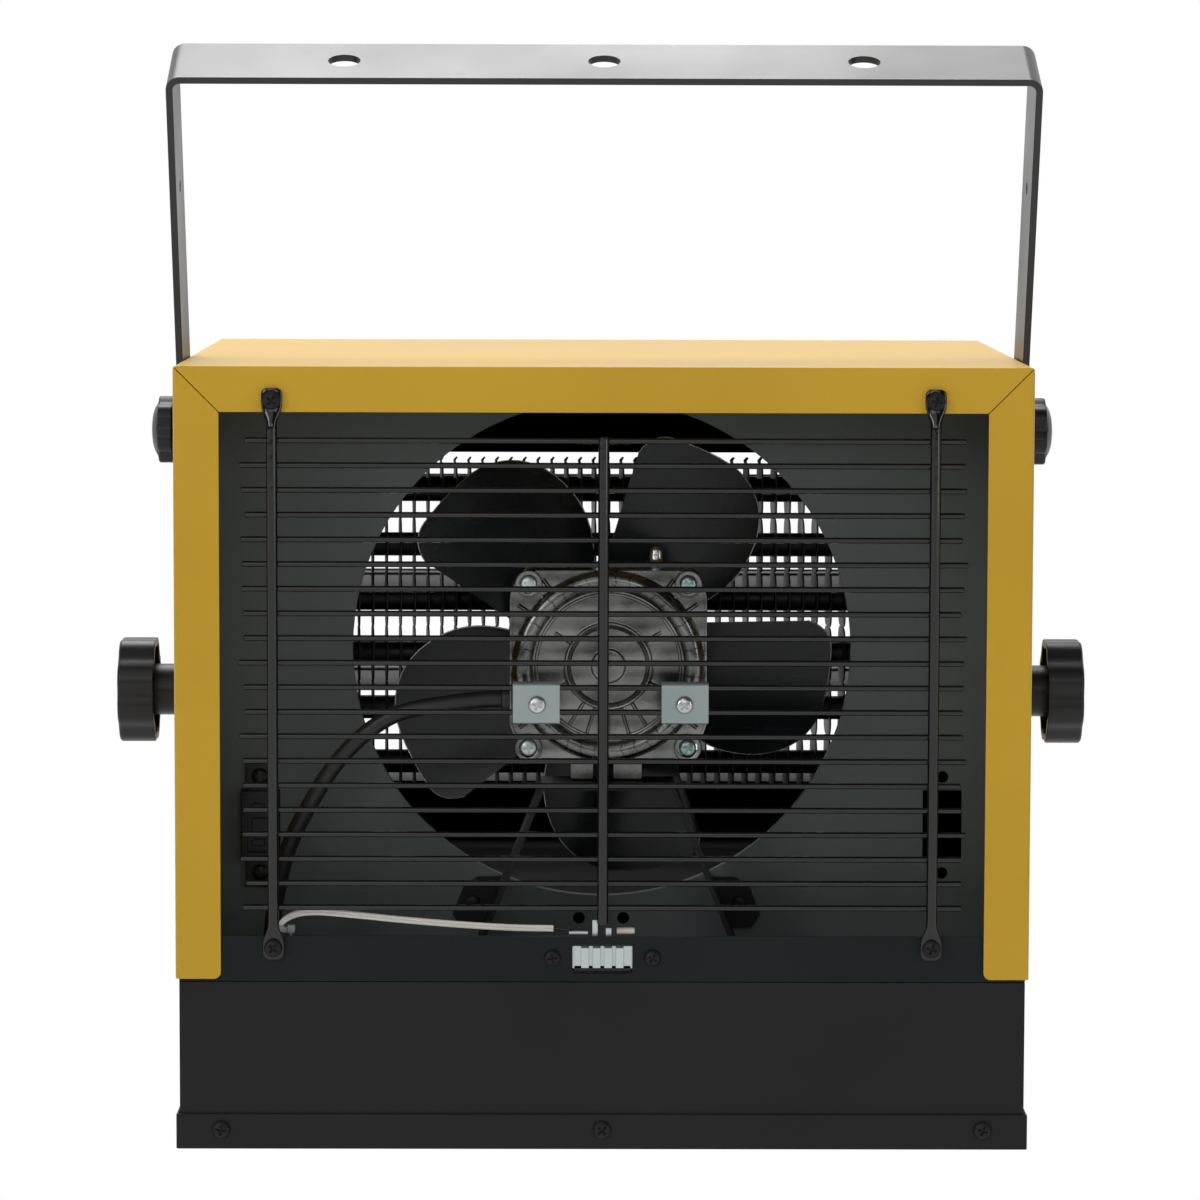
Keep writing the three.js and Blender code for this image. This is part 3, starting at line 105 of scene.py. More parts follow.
def pick(kind, test):
    # selects the corners, edges or faces of the mesh being edited that pass the test
    bpy.ops.mesh.select_mode(type=kind)
    bpy.ops.mesh.select_all(action="DESELECT")
    mesh = bmesh.from_edit_mesh(bpy.context.edit_object.data)
    if kind == "FACE":
        for face in mesh.faces:
            face.select_set(bool(test(face.calc_center_median(), face.normal)))
    elif kind == "EDGE":
        for edge in mesh.edges:
            edge.select_set(bool(test(edge.verts[0].co, edge.verts[1].co)))
    else:
        for corner in mesh.verts:
            corner.select_set(bool(test(corner.co)))
    mesh.select_flush_mode()


def extrude(step):
    bpy.ops.mesh.extrude_region_move(TRANSFORM_OT_translate={"value": step})


def outward():
    bpy.ops.mesh.select_all(action="SELECT")
    bpy.ops.mesh.normals_make_consistent(inside=False)


def settle(piece):
    # puts the place into the mesh, so that the object itself sits at the origin
    take(piece)
    bpy.ops.object.transform_apply(location=True, rotation=True, scale=True)
    return piece


def named(name):
    piece = bpy.context.active_object
    piece.name = name
    return settle(piece)


def box(name, low, high):
    low, high = Vector(low), Vector(high)
    deselect()
    bpy.ops.mesh.primitive_cube_add(size=1, location=(low + high) / 2, scale=high - low)
    return named(name)


def rod(name, start, end, radius, sides=24):
    start, end = Vector(start), Vector(end)
    along = end - start
    deselect()
    bpy.ops.mesh.primitive_cylinder_add(vertices=sides, radius=radius * mm, depth=along.length,
                                        location=(start + end) / 2,
                                        rotation=along.to_track_quat("Z", "Y").to_euler())
    return named(name)


def drawn(name, points, closed=False):
    # a line of corners, made by extruding one corner from point to point
    deselect()
    bpy.ops.mesh.primitive_plane_add(size=mm)
    piece = bpy.context.active_object
    piece.name = name
    bpy.ops.object.mode_set(mode="EDIT")
    bpy.ops.mesh.select_mode(type="VERT")
    bpy.ops.mesh.select_all(action="SELECT")
    bpy.ops.mesh.merge(type="CENTER")
    bpy.ops.transform.translate(value=points[0])
    for before, after in zip(points, points[1:]):
        extrude(Vector(after) - Vector(before))
    if closed:
        bpy.ops.mesh.select_all(action="SELECT")
        bpy.ops.mesh.edge_face_add()
    return piece


def plate(name, outline, depth):
    # a flat outline with a thickness
    piece = drawn(name, outline, closed=True)
    extrude(depth)
    outward()
    return done(piece)


def spun(name, profile, centre, axis, steps=48):
    # (radius, height) pairs in millimetres, turned about an axis; off the axis they close to a ring
    if profile[0][0]:
        profile = [*profile, profile[0]]
    centre, axis = Vector(centre), Vector(axis).normalized()
    side = axis.orthogonal().normalized()
    piece = drawn(name, [centre + side * radius * mm + axis * height * mm for radius, height in profile])
    bpy.ops.mesh.select_all(action="SELECT")
    bpy.ops.mesh.spin(steps=steps, angle=2 * math.pi, center=centre, axis=axis)
    bpy.ops.mesh.select_all(action="SELECT")
    bpy.ops.mesh.remove_doubles(threshold=0.01 * mm)
    outward()
    return done(piece)


def curvedPath(points, steps):
    # a smooth line through given points
    points = [Vector(p) for p in points]
    ends = [2 * points[0] - points[1], *points, 2 * points[-1] - points[-2]]
    path = []
    for a, b, c, d in zip(ends, ends[1:], ends[2:], ends[3:]):
        for k in range(steps):
            t = k / steps
            path.append(0.5 * (2 * b + (c - a) * t + (2 * a - 5 * b + 4 * c - d) * t ** 2
                               + (3 * b - a - 3 * c + d) * t ** 3))
    return [*path, points[-1]]


def tube(name, path, radius, fineness=4):
    piece = done(drawn(name, path))
    take(piece)
    bpy.ops.object.convert(target="CURVE")
    line = bpy.context.active_object
    line.data.bevel_depth = radius * mm
    line.data.bevel_resolution = fineness
    line.data.use_fill_caps = True
    bpy.ops.object.convert(target="MESH")
    piece = bpy.context.active_object
    piece.name = name
    edit(piece)
    outward()
    return done(piece)


def modify(piece, kind, **values):
    take(piece)
    modifier = piece.modifiers.new(kind.title(), kind)
    for key, value in values.items():
        setattr(modifier, key, value)
    bpy.ops.object.modifier_apply(modifier=modifier.name)
    return piece


def rounded(piece, width, segments=2, angle=30):
    return modify(piece, "BEVEL", width=width * mm, segments=segments, limit_method="ANGLE",
                  angle_limit=math.radians(angle))


def blocks(table, x=0, y=0, z=0):
    # boxes with soft edges, from a table of their names, two corners and edges, counted from a place
    made = []
    for name, (left, front, low), (right, back, high), edge in table:
        piece = box(name, at(x + left, y + front, z + low), at(x + right, y + back, z + high))
        made.append(rounded(piece, edge))
    return made


def carve(piece, *tools, operation="DIFFERENCE"):
    for tool in tools:
        modify(piece, "BOOLEAN", object=tool, operation=operation, solver="EXACT")
        bpy.data.objects.remove(tool)
    return piece


def joined(name, *pieces):
    deselect()
    for piece in pieces:
        piece.select_set(True)
    bpy.context.view_layer.objects.active = pieces[0]
    bpy.ops.object.join()
    pieces[0].name = name
    return pieces[0]


def copied(piece, matrix, name="twin"):
    twin = piece.copy()
    twin.data = piece.data.copy()
    twin.name = name
    bpy.context.scene.collection.objects.link(twin)
    twin.data.transform(matrix)
    return twin


def moved(piece, matrix):
    piece.data.transform(matrix)
    return piece


def aboutAxis(centre, axis, degrees):
    centre = Vector(centre)
    return (Matrix.Translation(centre) @ Matrix.Rotation(math.radians(degrees), 4, axis)
            @ Matrix.Translation(-centre))


def smooth(piece, degrees=32):
    # rounded edges shade, while the flat faces beside them stay flat
    take(piece)
    bpy.ops.object.shade_smooth_by_angle(angle=math.radians(degrees))
    return modify(piece, "WEIGHTED_NORMAL", keep_sharp=True)


def arc(x, y, radius, start, end, steps):
    # points of an arc in a plane, by angles in degrees
    turns = [math.radians(start + (end - start) * k / steps) for k in range(steps + 1)]
    return [(x + radius * math.cos(turn), y + radius * math.sin(turn)) for turn in turns]


def fitted(piece, look, body, slot, *stoodFor, angle=32):
    # look, body and the CAD nodes that this piece stands for
    smooth(piece, angle)
    piece.data.materials.clear()
    piece.data.materials.append(finishes[look])
    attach(piece, body)
    if stoodFor:
        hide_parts(*stoodFor)
    return piece


# finishes: plainLook holds what a look leaves out
plainLook = {"toneScale": 12.0, "grainScale": 900.0, "waviness": 0.3, "scuffScale": 60.0, "scuffs": 0.3,
             "bump": 0.2, "bumpDepth": 0.0001, "metal": 0.0, "specular": 0.5}


def effect(name, inputs, outputs):
    group = bpy.data.node_groups.new(name, "ShaderNodeTree")
    for label, kind, value in inputs:
        socket = group.interface.new_socket(name=label, in_out="INPUT", socket_type=kind)
        socket.default_value = value
    for label, kind in outputs:
        group.interface.new_socket(name=label, in_out="OUTPUT", socket_type=kind)
    return group, group.nodes.new("NodeGroupInput"), group.nodes.new("NodeGroupOutput")


def node(tree, kind, *sockets, **settings):
    # sockets are pairs of an input and its value
    made = tree.nodes.new(kind)
    for key, value in settings.items():
        setattr(made, key, value)
    for socket, value in sockets:
        made.inputs[socket].default_value = value
    return made


def wire(tree, *links):
    # each link is a node, its output, the next node and its input
    for source, output, target, socket in links:
        tree.links.new(source.outputs[output], target.inputs[socket])


def makeGrain():
    # fine bumps of a textured coat or a casting, with a slower unevenness under them
    group, inside, outside = effect(
        "surfaceGrain", [("Scale", "NodeSocketFloat", plainLook["grainScale"]),
                         ("Waviness", "NodeSocketFloat", plainLook["waviness"])],
        [("Height", "NodeSocketFloat")])
    place = node(group, "ShaderNodeTexCoord")
    fine = node(group, "ShaderNodeTexNoise", ("Detail", 3.0))
    slow = node(group, "ShaderNodeTexNoise", ("Scale", 45.0))
    mix = node(group, "ShaderNodeMix")
    wire(group, (place, "Object", fine, "Vector"), (place, "Object", slow, "Vector"),
         (inside, "Scale", fine, "Scale"), (inside, "Waviness", mix, "Factor"),
         (fine, "Fac", mix, "A"), (slow, "Fac", mix, "B"), (mix, "Result", outside, "Height"))
    return group


def makeMottle():
    # slow change between two colours, with a mask for roughness
    group, inside, outside = effect(
        "toneShift", [("Scale", "NodeSocketFloat", plainLook["toneScale"]),
                      ("Dark", "NodeSocketColor", (0, 0, 0, 1)), ("Light", "NodeSocketColor", (1, 1, 1, 1))],
        [("Color", "NodeSocketColor"), ("Mask", "NodeSocketFloat")])
    place = node(group, "ShaderNodeTexCoord")
    cloud = node(group, "ShaderNodeTexNoise", ("Detail", 4.0))
    mask = node(group, "ShaderNodeMapRange", ("From Min", 0.3), ("From Max", 0.7))
    mix = node(group, "ShaderNodeMix", data_type="RGBA")
    # the colour mix takes its two colours at 6 and 7 and gives its result at 2
    wire(group, (place, "Object", cloud, "Vector"), (inside, "Scale", cloud, "Scale"),
         (cloud, "Fac", mask, "Value"), (mask, "Result", mix, "Factor"), (inside, "Dark", mix, 6),
         (inside, "Light", mix, 7), (mix, 2, outside, "Color"), (mask, "Result", outside, "Mask"))
    return group


def makeScuffs():
    # thin scratches and rubbed specks, as a mask
    group, inside, outside = effect(
        "scuffMarks", [("Scale", "NodeSocketFloat", plainLook["scuffScale"]),
                       ("Amount", "NodeSocketFloat", 0.5)],
        [("Mask", "NodeSocketFloat")])
    place = node(group, "ShaderNodeTexCoord")
    stretch = node(group, "ShaderNodeMapping", ("Scale", (1.0, 3.0, 14.0)), ("Rotation", (0.3, 0.5, 0.2)))
    noise = node(group, "ShaderNodeTexNoise", ("Detail", 6.0), ("Distortion", 0.6))
    cutOff = node(group, "ShaderNodeMapRange", ("From Min", 0.62), ("From Max", 0.74))
    amount = node(group, "ShaderNodeMath", operation="MULTIPLY")
    wire(group, (place, "Object", stretch, "Vector"), (stretch, "Vector", noise, "Vector"),
         (inside, "Scale", noise, "Scale"), (noise, "Fac", cutOff, "Value"), (cutOff, "Result", amount, 0),
         (inside, "Amount", amount, 1), (amount, "Value", outside, "Mask"))
    return group


surfaceGrain = makeGrain()
toneShift = makeMottle()
scuffMarks = makeScuffs()


def finish(name, ownLook):
    # one material: two tones, a grain in the bump and scuffs in the roughness
    look = {**plainLook, **ownLook}
    material = bpy.data.materials.new(name)
    material.use_nodes = True
    tree = material.node_tree
    shader = tree.nodes["Principled BSDF"]
    tone = node(tree, "ShaderNodeGroup", ("Scale", look["toneScale"]), ("Dark", (*look["dark"], 1)),
                ("Light", (*look["light"], 1)), node_tree=toneShift)
    grain = node(tree, "ShaderNodeGroup", ("Scale", look["grainScale"]), ("Waviness", look["waviness"]),
                 node_tree=surfaceGrain)
    scuffs = node(tree, "ShaderNodeGroup", ("Scale", look["scuffScale"]), ("Amount", look["scuffs"]),
                  node_tree=scuffMarks)
    low, high = look["roughness"]
    rough = node(tree, "ShaderNodeMapRange", ("To Min", low), ("To Max", high))
    wear = node(tree, "ShaderNodeMath", operation="MAXIMUM")
    bump = node(tree, "ShaderNodeBump", ("Strength", look["bump"]), ("Distance", look["bumpDepth"]))
    wire(tree, (tone, "Color", shader, "Base Color"), (tone, "Mask", wear, 0), (scuffs, "Mask", wear, 1),
         (wear, "Value", rough, "Value"), (rough, "Result", shader, "Roughness"),
         (grain, "Height", bump, "Height"), (bump, "Normal", shader, "Normal"))
    shader.inputs["Metallic"].default_value = look["metal"]
    shader.inputs["Specular IOR Level"].default_value = look["specular"]
    return material


looks = {
    "yellowPaint": {
        "dark": (0.50, 0.29, 0.008), "light": (0.57, 0.335, 0.012), "roughness": (0.34, 0.46),
        "specular": 0.4, "bump": 0.5, "toneScale": 6.0},
    "blackPaint": {
        "dark": (0.008, 0.008, 0.0085), "light": (0.013, 0.013, 0.0135), "roughness": (0.42, 0.52),
        "specular": 0.2, "grainScale": 1800.0, "bump": 0.3, "bumpDepth": 0.00005},
    "greyPaint": {
        "dark": (0.088, 0.104, 0.102), "light": (0.110, 0.127, 0.124), "roughness": (0.4, 0.55),
        "specular": 0.3, "grainScale": 1500.0, "bumpDepth": 0.00004},
    "blackWire": {
        "dark": (0.003, 0.003, 0.0035), "light": (0.006, 0.006, 0.0065), "roughness": (0.06, 0.12),
        "specular": 0.45, "grainScale": 300.0, "bump": 0.3, "bumpDepth": 0.0002},
    "dullZinc": {
        "dark": (0.25, 0.295, 0.295), "light": (0.33, 0.38, 0.37), "roughness": (0.38, 0.5),
        "metal": 0.8, "grainScale": 700.0, "bump": 0.25, "bumpDepth": 0.00005},
    # near-black coat of the duct and the front panel: painted shade, where the inside of the duct lies in
    # shadow
    "ductPaintedShade": {
        "dark": (0.005, 0.005, 0.005), "light": (0.008, 0.008, 0.008), "roughness": (0.6, 0.75),
        "specular": 0.08, "grainScale": 1500.0},
    # the tray's black, darker and more teal than the black paint of the base
    "trayDarkerBlack": {
        "dark": (0.006, 0.0085, 0.009), "light": (0.010, 0.0135, 0.014), "roughness": (0.4, 0.5),
        "specular": 0.15, "grainScale": 1800.0, "bump": 0.3, "bumpDepth": 0.00005},
    "castAlloy": {
        "dark": (0.11, 0.115, 0.11), "light": (0.27, 0.275, 0.262), "roughness": (0.2, 0.32),
        "metal": 1.0, "grainScale": 420.0, "bump": 0.5, "bumpDepth": 0.0002, "waviness": 0.5,
        "toneScale": 60.0, "scuffs": 0.8},
    "zincPlate": {
        "dark": (0.50, 0.55, 0.55), "light": (0.66, 0.70, 0.69), "roughness": (0.32, 0.48),
        "metal": 0.9, "grainScale": 600.0},
    "tealZinc": {
        "dark": (0.26, 0.38, 0.38), "light": (0.40, 0.52, 0.51), "roughness": (0.26, 0.4),
        "metal": 0.9, "grainScale": 600.0},
    "bareSteel": {
        "dark": (0.40, 0.41, 0.41), "light": (0.56, 0.57, 0.57), "roughness": (0.22, 0.4),
        "metal": 1.0, "grainScale": 700.0},
    "coreSteel": {
        "dark": (0.10, 0.11, 0.12), "light": (0.20, 0.21, 0.22), "roughness": (0.35, 0.55),
        "metal": 0.8},
    "bladeMetal": {
        "dark": (0.006, 0.0075, 0.0085), "light": (0.013, 0.015, 0.016), "roughness": (0.2, 0.34),
        "specular": 0.32, "scuffs": 0.8, "grainScale": 500.0, "bump": 0.15, "toneScale": 25.0},
    "elementBlack": {
        "dark": (0.008, 0.008, 0.008), "light": (0.03, 0.029, 0.028), "roughness": (0.4, 0.6),
        "metal": 0.3, "toneScale": 40.0},
    "blackPlastic": {
        "dark": (0.007, 0.007, 0.008), "light": (0.012, 0.012, 0.013), "roughness": (0.26, 0.38),
        "specular": 0.3, "grainScale": 1200.0, "bump": 0.15, "bumpDepth": 0.00004},
    "ceramicWhite": {
        "dark": (0.55, 0.52, 0.45), "light": (0.72, 0.69, 0.62), "roughness": (0.5, 0.7),
        "grainScale": 800.0},
    "whiteSleeve": {
        "dark": (0.62, 0.60, 0.55), "light": (0.78, 0.76, 0.71), "roughness": (0.45, 0.6),
        "grainScale": 1500.0},
    "bracketPaint": {
        "dark": (0.008, 0.008, 0.009), "light": (0.013, 0.013, 0.014), "roughness": (0.32, 0.42),
        "grainScale": 1800.0, "bump": 0.3, "bumpDepth": 0.00004},
    "nylonTie": {
        "dark": (0.22, 0.23, 0.23), "light": (0.3, 0.31, 0.31), "roughness": (0.35, 0.5),
        "grainScale": 1500.0},
    "blackRubber": {
        "dark": (0.008, 0.008, 0.008), "light": (0.016, 0.016, 0.016), "roughness": (0.35, 0.5),
        "grainScale": 1300.0},
}
finishes = {name: finish(name, look) for name, look in looks.items()}
slotFinish = {
    "yellow_paint": "yellowPaint", "black_paint": "blackPaint", "grey_paint": "greyPaint",
    "black_wire": "blackWire", "cast_alloy": "castAlloy", "zinc_plate": "zincPlate",
    "bare_steel": "bareSteel", "core_steel": "coreSteel", "blade_metal": "bladeMetal",
    "element_black": "elementBlack", "black_plastic": "blackPlastic", "ceramic": "ceramicWhite",
    "white_sleeve": "whiteSleeve", "black_rubber": "blackRubber"}

# nodes whose coat differs from their slot's; the duct's and the front panel's near-black coat is painted
# shade inside the duct
ownFinish = {"chassis_tray": "trayDarkerBlack", "air_duct": "ductPaintedShade", "front_panel": "ductPaintedShade"}
# nodes whose sheet edges are softened more than the others'
softerEdge = {"hood": 0.5, "ceiling_bracket": 0.5, "bottom_cover": 0.5}
softening = {"width": 0.25, "segments": 2, "bevelFrom": 40, "smoothBelow": 35}


def finishNode(part):
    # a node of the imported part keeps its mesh, with soft edges and its slot's finish
    name, slot = part["node"], part["material_slot"]
    piece = take(nodes[name])
    piece.data.materials.clear()
    piece.data.materials.append(finishes[ownFinish.get(name, slotFinish[slot])])
    weld = piece.modifiers.new("Weld", "WELD")
    weld.merge_threshold = tiny
    edge = piece.modifiers.new("Edge", "BEVEL")
    edge.width = softerEdge.get(name, softening["width"]) * mm
    edge.segments = softening["segments"]
    edge.limit_method = "ANGLE"
    edge.angle_limit = math.radians(softening["bevelFrom"])
    bpy.ops.object.shade_smooth_by_angle(angle=math.radians(softening["smoothBelow"]))
    piece.modifiers.new("Flats", "WEIGHTED_NORMAL").keep_sharp = True


for part in frame["record"]["subparts"]:
    finishNode(part)
print("finishes on", len(nodes), "nodes")

# screws

panHead = {"radius": 4, "height": 2.2, "shank": 2, "length": 5, "cross": 4.6, "slot": 1, "depth": 1.3,
           # the dome's shares of the radius and of the height
           "dome": [(0, 1), (0.35, 0.98), (0.65, 0.88), (0.85, 0.68), (0.97, 0.36), (1, 0)],
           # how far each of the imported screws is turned
           "turns": {"guard_screw_1": 38, "guard_screw_2": 12, "guard_screw_3": 40, "guard_screw_4": 22,
                     "cover_screw_1": 8, "cover_screw_2": 44, "cover_screw_3": 20}}


def makePanHead():
    # a domed head with a cross recess, seated on the origin and facing -Y
    radius, height, shank, length = (panHead[key] for key in ("radius", "height", "shank", "length"))
    dome = [(radius * share, height * rise) for share, rise in panHead["dome"]]
    screw = spun("panHead", [*dome, (shank, 0), (shank, -length), (0, -length)], (0, 0, 0), (0, -1, 0), 24)
    reach, half = panHead["cross"] / 2 * mm, panHead["slot"] / 2 * mm
    back = -(height - panHead["depth"]) * mm
    front = -(height + 1) * mm  # the cutters start clear of the head
    return carve(screw, box("slotAcross", (-reach, front, -half), (reach, back, half)),
                 box("slotUp", (-half, front, -reach), (half, back, reach)))


headMaster = makePanHead()


def screwAt(name, place, turn, size=1.0):
    matrix = (Matrix.Translation(place) @ Matrix.Rotation(math.radians(turn), 4, "Y")
              @ Matrix.Scale(size, 4))
    return copied(headMaster, matrix, name)


def fitNodeScrews():
    for name, turn in panHead["turns"].items():
        low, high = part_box(name)
        seat = (low + high) / 2
        seat.y = low.y + panHead["height"] * mm
        fitted(screwAt(name + "_crossHead", seat, turn), "blackPaint", "heater", "black_paint", name)


# hood

hood = {"bend": 1.5, "rearFlange": 19.7, "frontFlange": 14, "sheet": 1.2, "lipRound": 3, "seam": 0.4,
        "seamEnd": 0.8, "seamOver": 2, "edge": 0.25}


def makeHood():
    shell = box("foldedHood", hoodLow, hoodHigh)
    edit(shell)
    pick("FACE", lambda place, normal: normal.z < -0.9)
    bpy.ops.mesh.delete(type="FACE")
    for side, width in ((-1, hood["rearFlange"]), (1, hood["frontFlange"])):
        pick("FACE", lambda place, normal: normal.y * side > 0.9)
        bpy.ops.mesh.inset(thickness=width * mm, use_boundary=False)
        bpy.ops.mesh.delete(type="FACE")
    inner = hoodHigh.x - hood["rearFlange"] * mm
    pick("VERT", lambda place: place.z < hoodLow.z + tiny and place.y < hoodLow.y + tiny
         and abs(abs(place.x) - inner) < tiny)
    bpy.ops.mesh.bevel(affect="VERTICES", offset=hood["lipRound"] * mm, segments=4)
    walls = (lambda p: abs(p.x) > hoodHigh.x - tiny, lambda p: p.z > hoodHigh.z - tiny,
             lambda p: p.y < hoodLow.y + tiny, lambda p: p.y > hoodHigh.y - tiny)
    pick("EDGE", lambda a, b: sum(wall(a) and wall(b) for wall in walls) == 2)
    bpy.ops.mesh.bevel(offset=hood["bend"] * mm, segments=3)
    done(shell)
    modify(shell, "SOLIDIFY", thickness=hood["sheet"] * mm, offset=-1, use_even_offset=True)
    rounded(shell, hood["edge"], 2, 60)

    # the mitred seams at the two upper corners of the rear flange
    start, end = hood["rearFlange"] + hood["seamOver"], hood["seamEnd"]
    half = hood["seam"] / 2 / math.sqrt(2)
    corner = [(start, -half, half), (end, -half, half), (end, half, -half), (start, half, -half)]
    width, height = hoodHigh.x / mm, (hoodHigh.z - hoodLow.z) / mm
    for side in (-1, 1):
        outline = [at(side * (width - depth + a), -1, height - depth + b) for depth, a, b in corner]
        carve(shell, plate("seam", outline, local(0, 1 + hood["sheet"] + 0.1)))
    return fitted(shell, "yellowPaint", "heater", "yellow_paint", "hood", angle=50)


# ceiling bracket

bracket = {"tilt": 22.3, "reach": 310, "width": 40, "sheet": 3, "outerBend": 6, "sideGap": 0.5,
           "holePitch": 112.5, "holeRadius": 7, "wireHole": 251, "wireRadius": 2.8, "edge": 0.5,
           "pivotY": 150, "pivotZ": 109.5}


def makeBracket():
    # drawn upright about the tilt axis, then leaned back to the photographed tilt
    pivot = at(0, bracket["pivotY"], bracket["pivotZ"])
    inner = hoodHigh.x / mm + bracket["sideGap"]
    outer = inner + bracket["sheet"]
    reach, bend, half = bracket["reach"], bracket["outerBend"], bracket["width"] / 2
    line = [(outer, -half), *arc(outer - bend, reach - bend, bend, 0, 90, 8),
            *arc(bend - outer, reach - bend, bend, 90, 180, 8), (-outer, -half), (-inner, -half),
            *arc(bend - outer, reach - bend, bend - bracket["sheet"], 180, 90, 8),
            *arc(outer - bend, reach - bend, bend - bracket["sheet"], 90, 0, 8), (inner, -half)]
    strap = plate("strapBracket", [pivot + local(x, -half, z) for x, z in line], local(0, bracket["width"]))
    edit(strap)
    pick("EDGE", lambda a, b: max(a.z, b.z) < pivot.z - (half - 1) * mm and abs(a.y - b.y) < tiny)
    bpy.ops.mesh.bevel(offset=(half - 0.2) * mm, segments=10)
    done(strap)
    through = 3 * bracket["sheet"]
    holes = [rod("bolt", pivot + local(x, 0, reach - through), pivot + local(x, 0, reach + through),
                 bracket["holeRadius"], 40) for x in (-bracket["holePitch"], 0, bracket["holePitch"])]
    side, lift = local(outer + 2), pivot + local(z=bracket["wireHole"])
    carve(strap, *holes, rod("wireHole", lift - side, lift + side, bracket["wireRadius"], 20))
    rounded(strap, bracket["edge"], 2, 50)
    moved(strap, aboutAxis(pivot, "X", bracket["tilt"]))
    return fitted(strap, "bracketPaint", "ceiling_bracket", "black_paint", "ceiling_bracket", angle=40)


# fan partition

partition = {"y": 88, "sheet": 1.2, "fold": 12, "hole": 111.8, "holeZ": 135, "collar": 5, "cutX": 153.5,
             "cutZ": 55.5, "cutWide": 17.6, "cutHigh": 31.6, "screwRise": 21.8, "screwHole": 2.7,
             "spareX": 10, "spareZ": 13, "foldLow": 12.3, "notch": 1.6, "corner": 2.4, "edge": 0.35}


def makePartition():
    low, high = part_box("fan_partition")
    y, sheet, hole, holeZ = (partition[key] for key in ("y", "sheet", "hole", "holeZ"))
    plateHalf, top, foot = high.x / mm, (high.z - hoodLow.z) / mm, (low.z - hoodLow.z) / mm
    before, behind = y - 2, y + 4  # where the cutting tools start and end
    fold, notch, corner, cutZ = (partition[key] for key in ("foldLow", "notch", "corner", "cutZ"))
    half = [(plateHalf - notch, foot), (plateHalf - notch, fold), (plateHalf, fold),
            (plateHalf, top - corner), (plateHalf - corner, top)]
    line = half + [(-x, z) for x, z in reversed(half)]
    sheetPlate = plate("partitionPlate", [at(x, y, z) for x, z in line], local(0, sheet))
    tools = [rod("throat", at(0, before, holeZ), at(0, behind, holeZ), hole + sheet / 2, 96)]
    wide, tall = partition["cutWide"] / 2, partition["cutHigh"] / 2
    for side in (-1, 1):
        cutX = side * partition["cutX"]
        tools.append(box("cutOut", at(cutX - wide, before, cutZ - tall),
                         at(cutX + wide, behind, cutZ + tall)))
        spots = [(cutX, cutZ + k * partition["screwRise"]) for k in (-1, 1)]
        for x, z in [*spots, (side * partition["spareX"], partition["spareZ"])]:
            tools.append(rod("hole", at(x, before, z), at(x, behind, z), partition["screwHole"], 20))
    carve(sheetPlate, *tools)
    # the throat's rim turned in, and a fold down each side
    collar = spun("collar", [(hole, 0), (hole, partition["collar"]), (hole + sheet, partition["collar"]),
                             (hole + sheet, 0)], at(0, y, holeZ), (0, 1, 0), 96)
    folds = [box("fold", at(x, y, fold), at(x + sheet, y + partition["fold"], top - corner))
             for x in (-plateHalf, plateHalf - sheet)]
    carve(sheetPlate, collar, *folds, operation="UNION")
    whole = rounded(sheetPlate, partition["edge"], 2, 50)
    whole.name = "pressedPartition"
    return fitted(whole, "greyPaint", "heater", "grey_paint", "fan_partition", angle=40)


fitNodeScrews()
makeHood()
makePartition()
makeBracket()
print("casing, bracket and screws")

# rear wire guard

guard = {"rodRadius": 2.4, "wireRadius": 1.3, "rodX": 142.4, "rodY": -2.7, "wireY": 0.45, "eyeLow": 14.1,
         "eyeHigh": 251.1, "neck": 12, "eyeY": -1.4, "lowest": 31.4, "highest": 233.8, "wires": 20,
         "reach": 156.5, "stagger": 1.6, "centreOver": 2, "centreUnder": 7, "wireEnd": 0.8, "rodEnd": 0.9,
         "eyeEdge": 0.4}
# along an eyelet from its neck: step, half width, half thickness and the share of its way back
eyelet = [(3, 2.5, 2.1, 0.2), (3, 3.5, 1.5, 0.7), (3, 4.4, 1.15, 1), (3, 4.65, 1.1, 1), (3, 4.5, 1.1, 1),
          (1.4, 3.9, 1.05, 1), (0.8, 2.6, 0.9, 1)]


def guardRod(x):
    low, high = guard["eyeLow"] + guard["neck"], guard["eyeHigh"] - guard["neck"]
    piece = rod("guardRod", at(x, guard["rodY"], low), at(x, guard["rodY"], high), guard["rodRadius"], 20)
    edit(piece)
    for sign in (-1, 1):
        pick("FACE", lambda place, normal: normal.z * sign > 0.9)
        place = at(x, guard["rodY"], high if sign > 0 else low)
        wide = thin = guard["rodRadius"]
        back = 0
        for step, newWide, newThin, share in eyelet:
            shift = (share - back) * (guard["eyeY"] - guard["rodY"])
            move = local(0, shift, sign * step)
            extrude(move)
            place = place + move
            bpy.ops.transform.resize(value=(newWide / wide, newThin / thin, 1), center_override=place)
            wide, thin, back = newWide, newThin, share
    return rounded(done(piece), guard["eyeEdge"], 2, 60)


